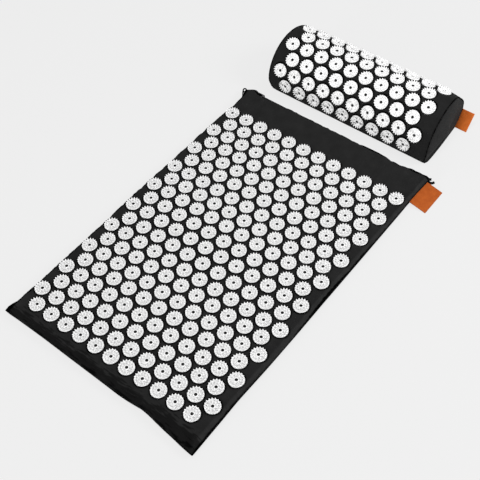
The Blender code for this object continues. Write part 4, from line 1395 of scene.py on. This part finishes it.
def build_end(name, hand, node):
    """A domed end panel, sewn in along the outline."""
    outline = end_outline()
    middle_y, middle_z = PILLOW_MIDDLE
    verts = []
    uvs = []
    for level in DOME_LEVEL_SHARES:
        for y, z in outline:
            py = middle_y + (y - middle_y) * (1.0 - level)
            pz = middle_z + (slumped(y, z, hand) - middle_z) * (1.0 - level)
            dome = END_BULGE * (1.0 - (1.0 - level) ** END_BULGE_POWER)
            seam = -SEAM_DIP * math.exp(-level / END_DIP_SHARE)
            pucker = wrinkle(END_PUCKER, y * END_STRETCH, z * END_STRETCH)
            pucker *= math.exp(-level / END_PUCKER_SHARE)
            soft = wrinkle(END_SWELL, py, pz) * min(1.0, level / END_SWELL_SHARE)
            x = end_reach(y, z, hand) + dome + seam + pucker + soft
            verts.append((PILLOW_X + hand * x, PILLOW_Y + py, max(pz, 0.0)))
            uvs.append((py, pz))
    x = PILLOW_X + hand * (end_reach(middle_y, middle_z, hand) + END_BULGE)
    verts.append((x, PILLOW_Y + middle_y, middle_z))
    uvs.append(PILLOW_MIDDLE)
    count = len(outline)
    rings = len(DOME_LEVEL_SHARES)
    faces = ring_faces(rings, count)
    if hand > 0.0:
        faces = [quad[::-1] for quad in faces]
    faces += fan_faces((rings - 1) * count, count, rings * count, hand > 0.0)
    made = mesh_object(name, verts, faces, uvs=uvs)
    thicken(made)
    return dress(made, CAP_COTTON, "pillow", "black_cloth", node)


def build_end_seam(name, hand):
    """The sunk seam round an end: a narrow near-black cord that shows as a broken dark line, a painted shade
    in the seam.
    """
    points = []
    for k, (y, z) in enumerate(end_outline()):
        sink = SEAM_SINK[0] + wrinkle(SEAM_SINK, y, z)
        share = 1.0 - sink / PILLOW_RADIUS
        x = PILLOW_X + hand * (end_reach(y, z, hand) - SEAM_CORD_INSET)
        height = max(slumped(y, z, hand), SEAM_CORD)
        points.append((x, PILLOW_Y + y * share, PILLOW_AXIS + (height - PILLOW_AXIS) * share))
    points.append(points[0])
    made = tube(name, smooth_route(points, 2), SEAM_CORD, 6)
    return dress(made, SEAM_SHADOW_CORD, "pillow", "black_cloth")


def build_pillow_foam():
    """The block inside the pillow, a little smaller than its covers all round."""
    outline = end_outline()
    middle_y, middle_z = PILLOW_MIDDLE
    verts = []
    for station in STATION_SHARES:
        share = PILLOW_FOAM_SHARE * (PILLOW_FOAM_END_SHARE if abs(station) == 1.0 else 1.0)
        hand = math.copysign(1.0, station)
        for y, z in outline:
            x = station * (end_reach(y, z, hand) - PILLOW_FOAM_INSET)
            py = middle_y + (y - middle_y) * share
            pz = middle_z + (slumped(y, z, hand) - middle_z) * share
            verts.append((PILLOW_X + x, PILLOW_Y + py, pz))
    count = len(outline)
    rings = len(STATION_SHARES)
    faces = ring_faces(rings, count, inward=True)
    for ring, hand in ((0, -1.0), (rings - 1, 1.0)):
        x = PILLOW_X + hand * (end_reach(middle_y, middle_z, hand) - PILLOW_FOAM_INSET)
        faces += fan_faces(ring * count, count, len(verts), hand > 0.0)
        verts.append((x, PILLOW_Y + middle_y, middle_z))
    block = mesh_object("pillow_foam_block", verts, faces)
    dress(block, FOAM_LOOK, "pillow", "foam", "pillow_foam_core")


def build_pillow():
    cover = panel("pillow_cloth", cover_line(), cover_line(0.0), PILLOW_COTTON, "spiked_cloth",
                  "pillow_cover", 1.0)
    base = base_line()
    panel("pillow_cloth_base", base, base, PLAIN_COTTON, "black_cloth", "pillow_base_panel", -1.0)
    for name, hand in (("left", -1.0), ("right", 1.0)):
        build_end("pillow_cloth_end_" + name, hand, "pillow_end_cap_" + name)
        build_end_seam("pillow_end_seam_" + name, hand)
    build_pillow_foam()


build_studio()
build_mat_cloth()
build_mat_foam()
build_mat_discs()
build_zips()
build_tabs()
build_pillow()
build_pillow_discs()
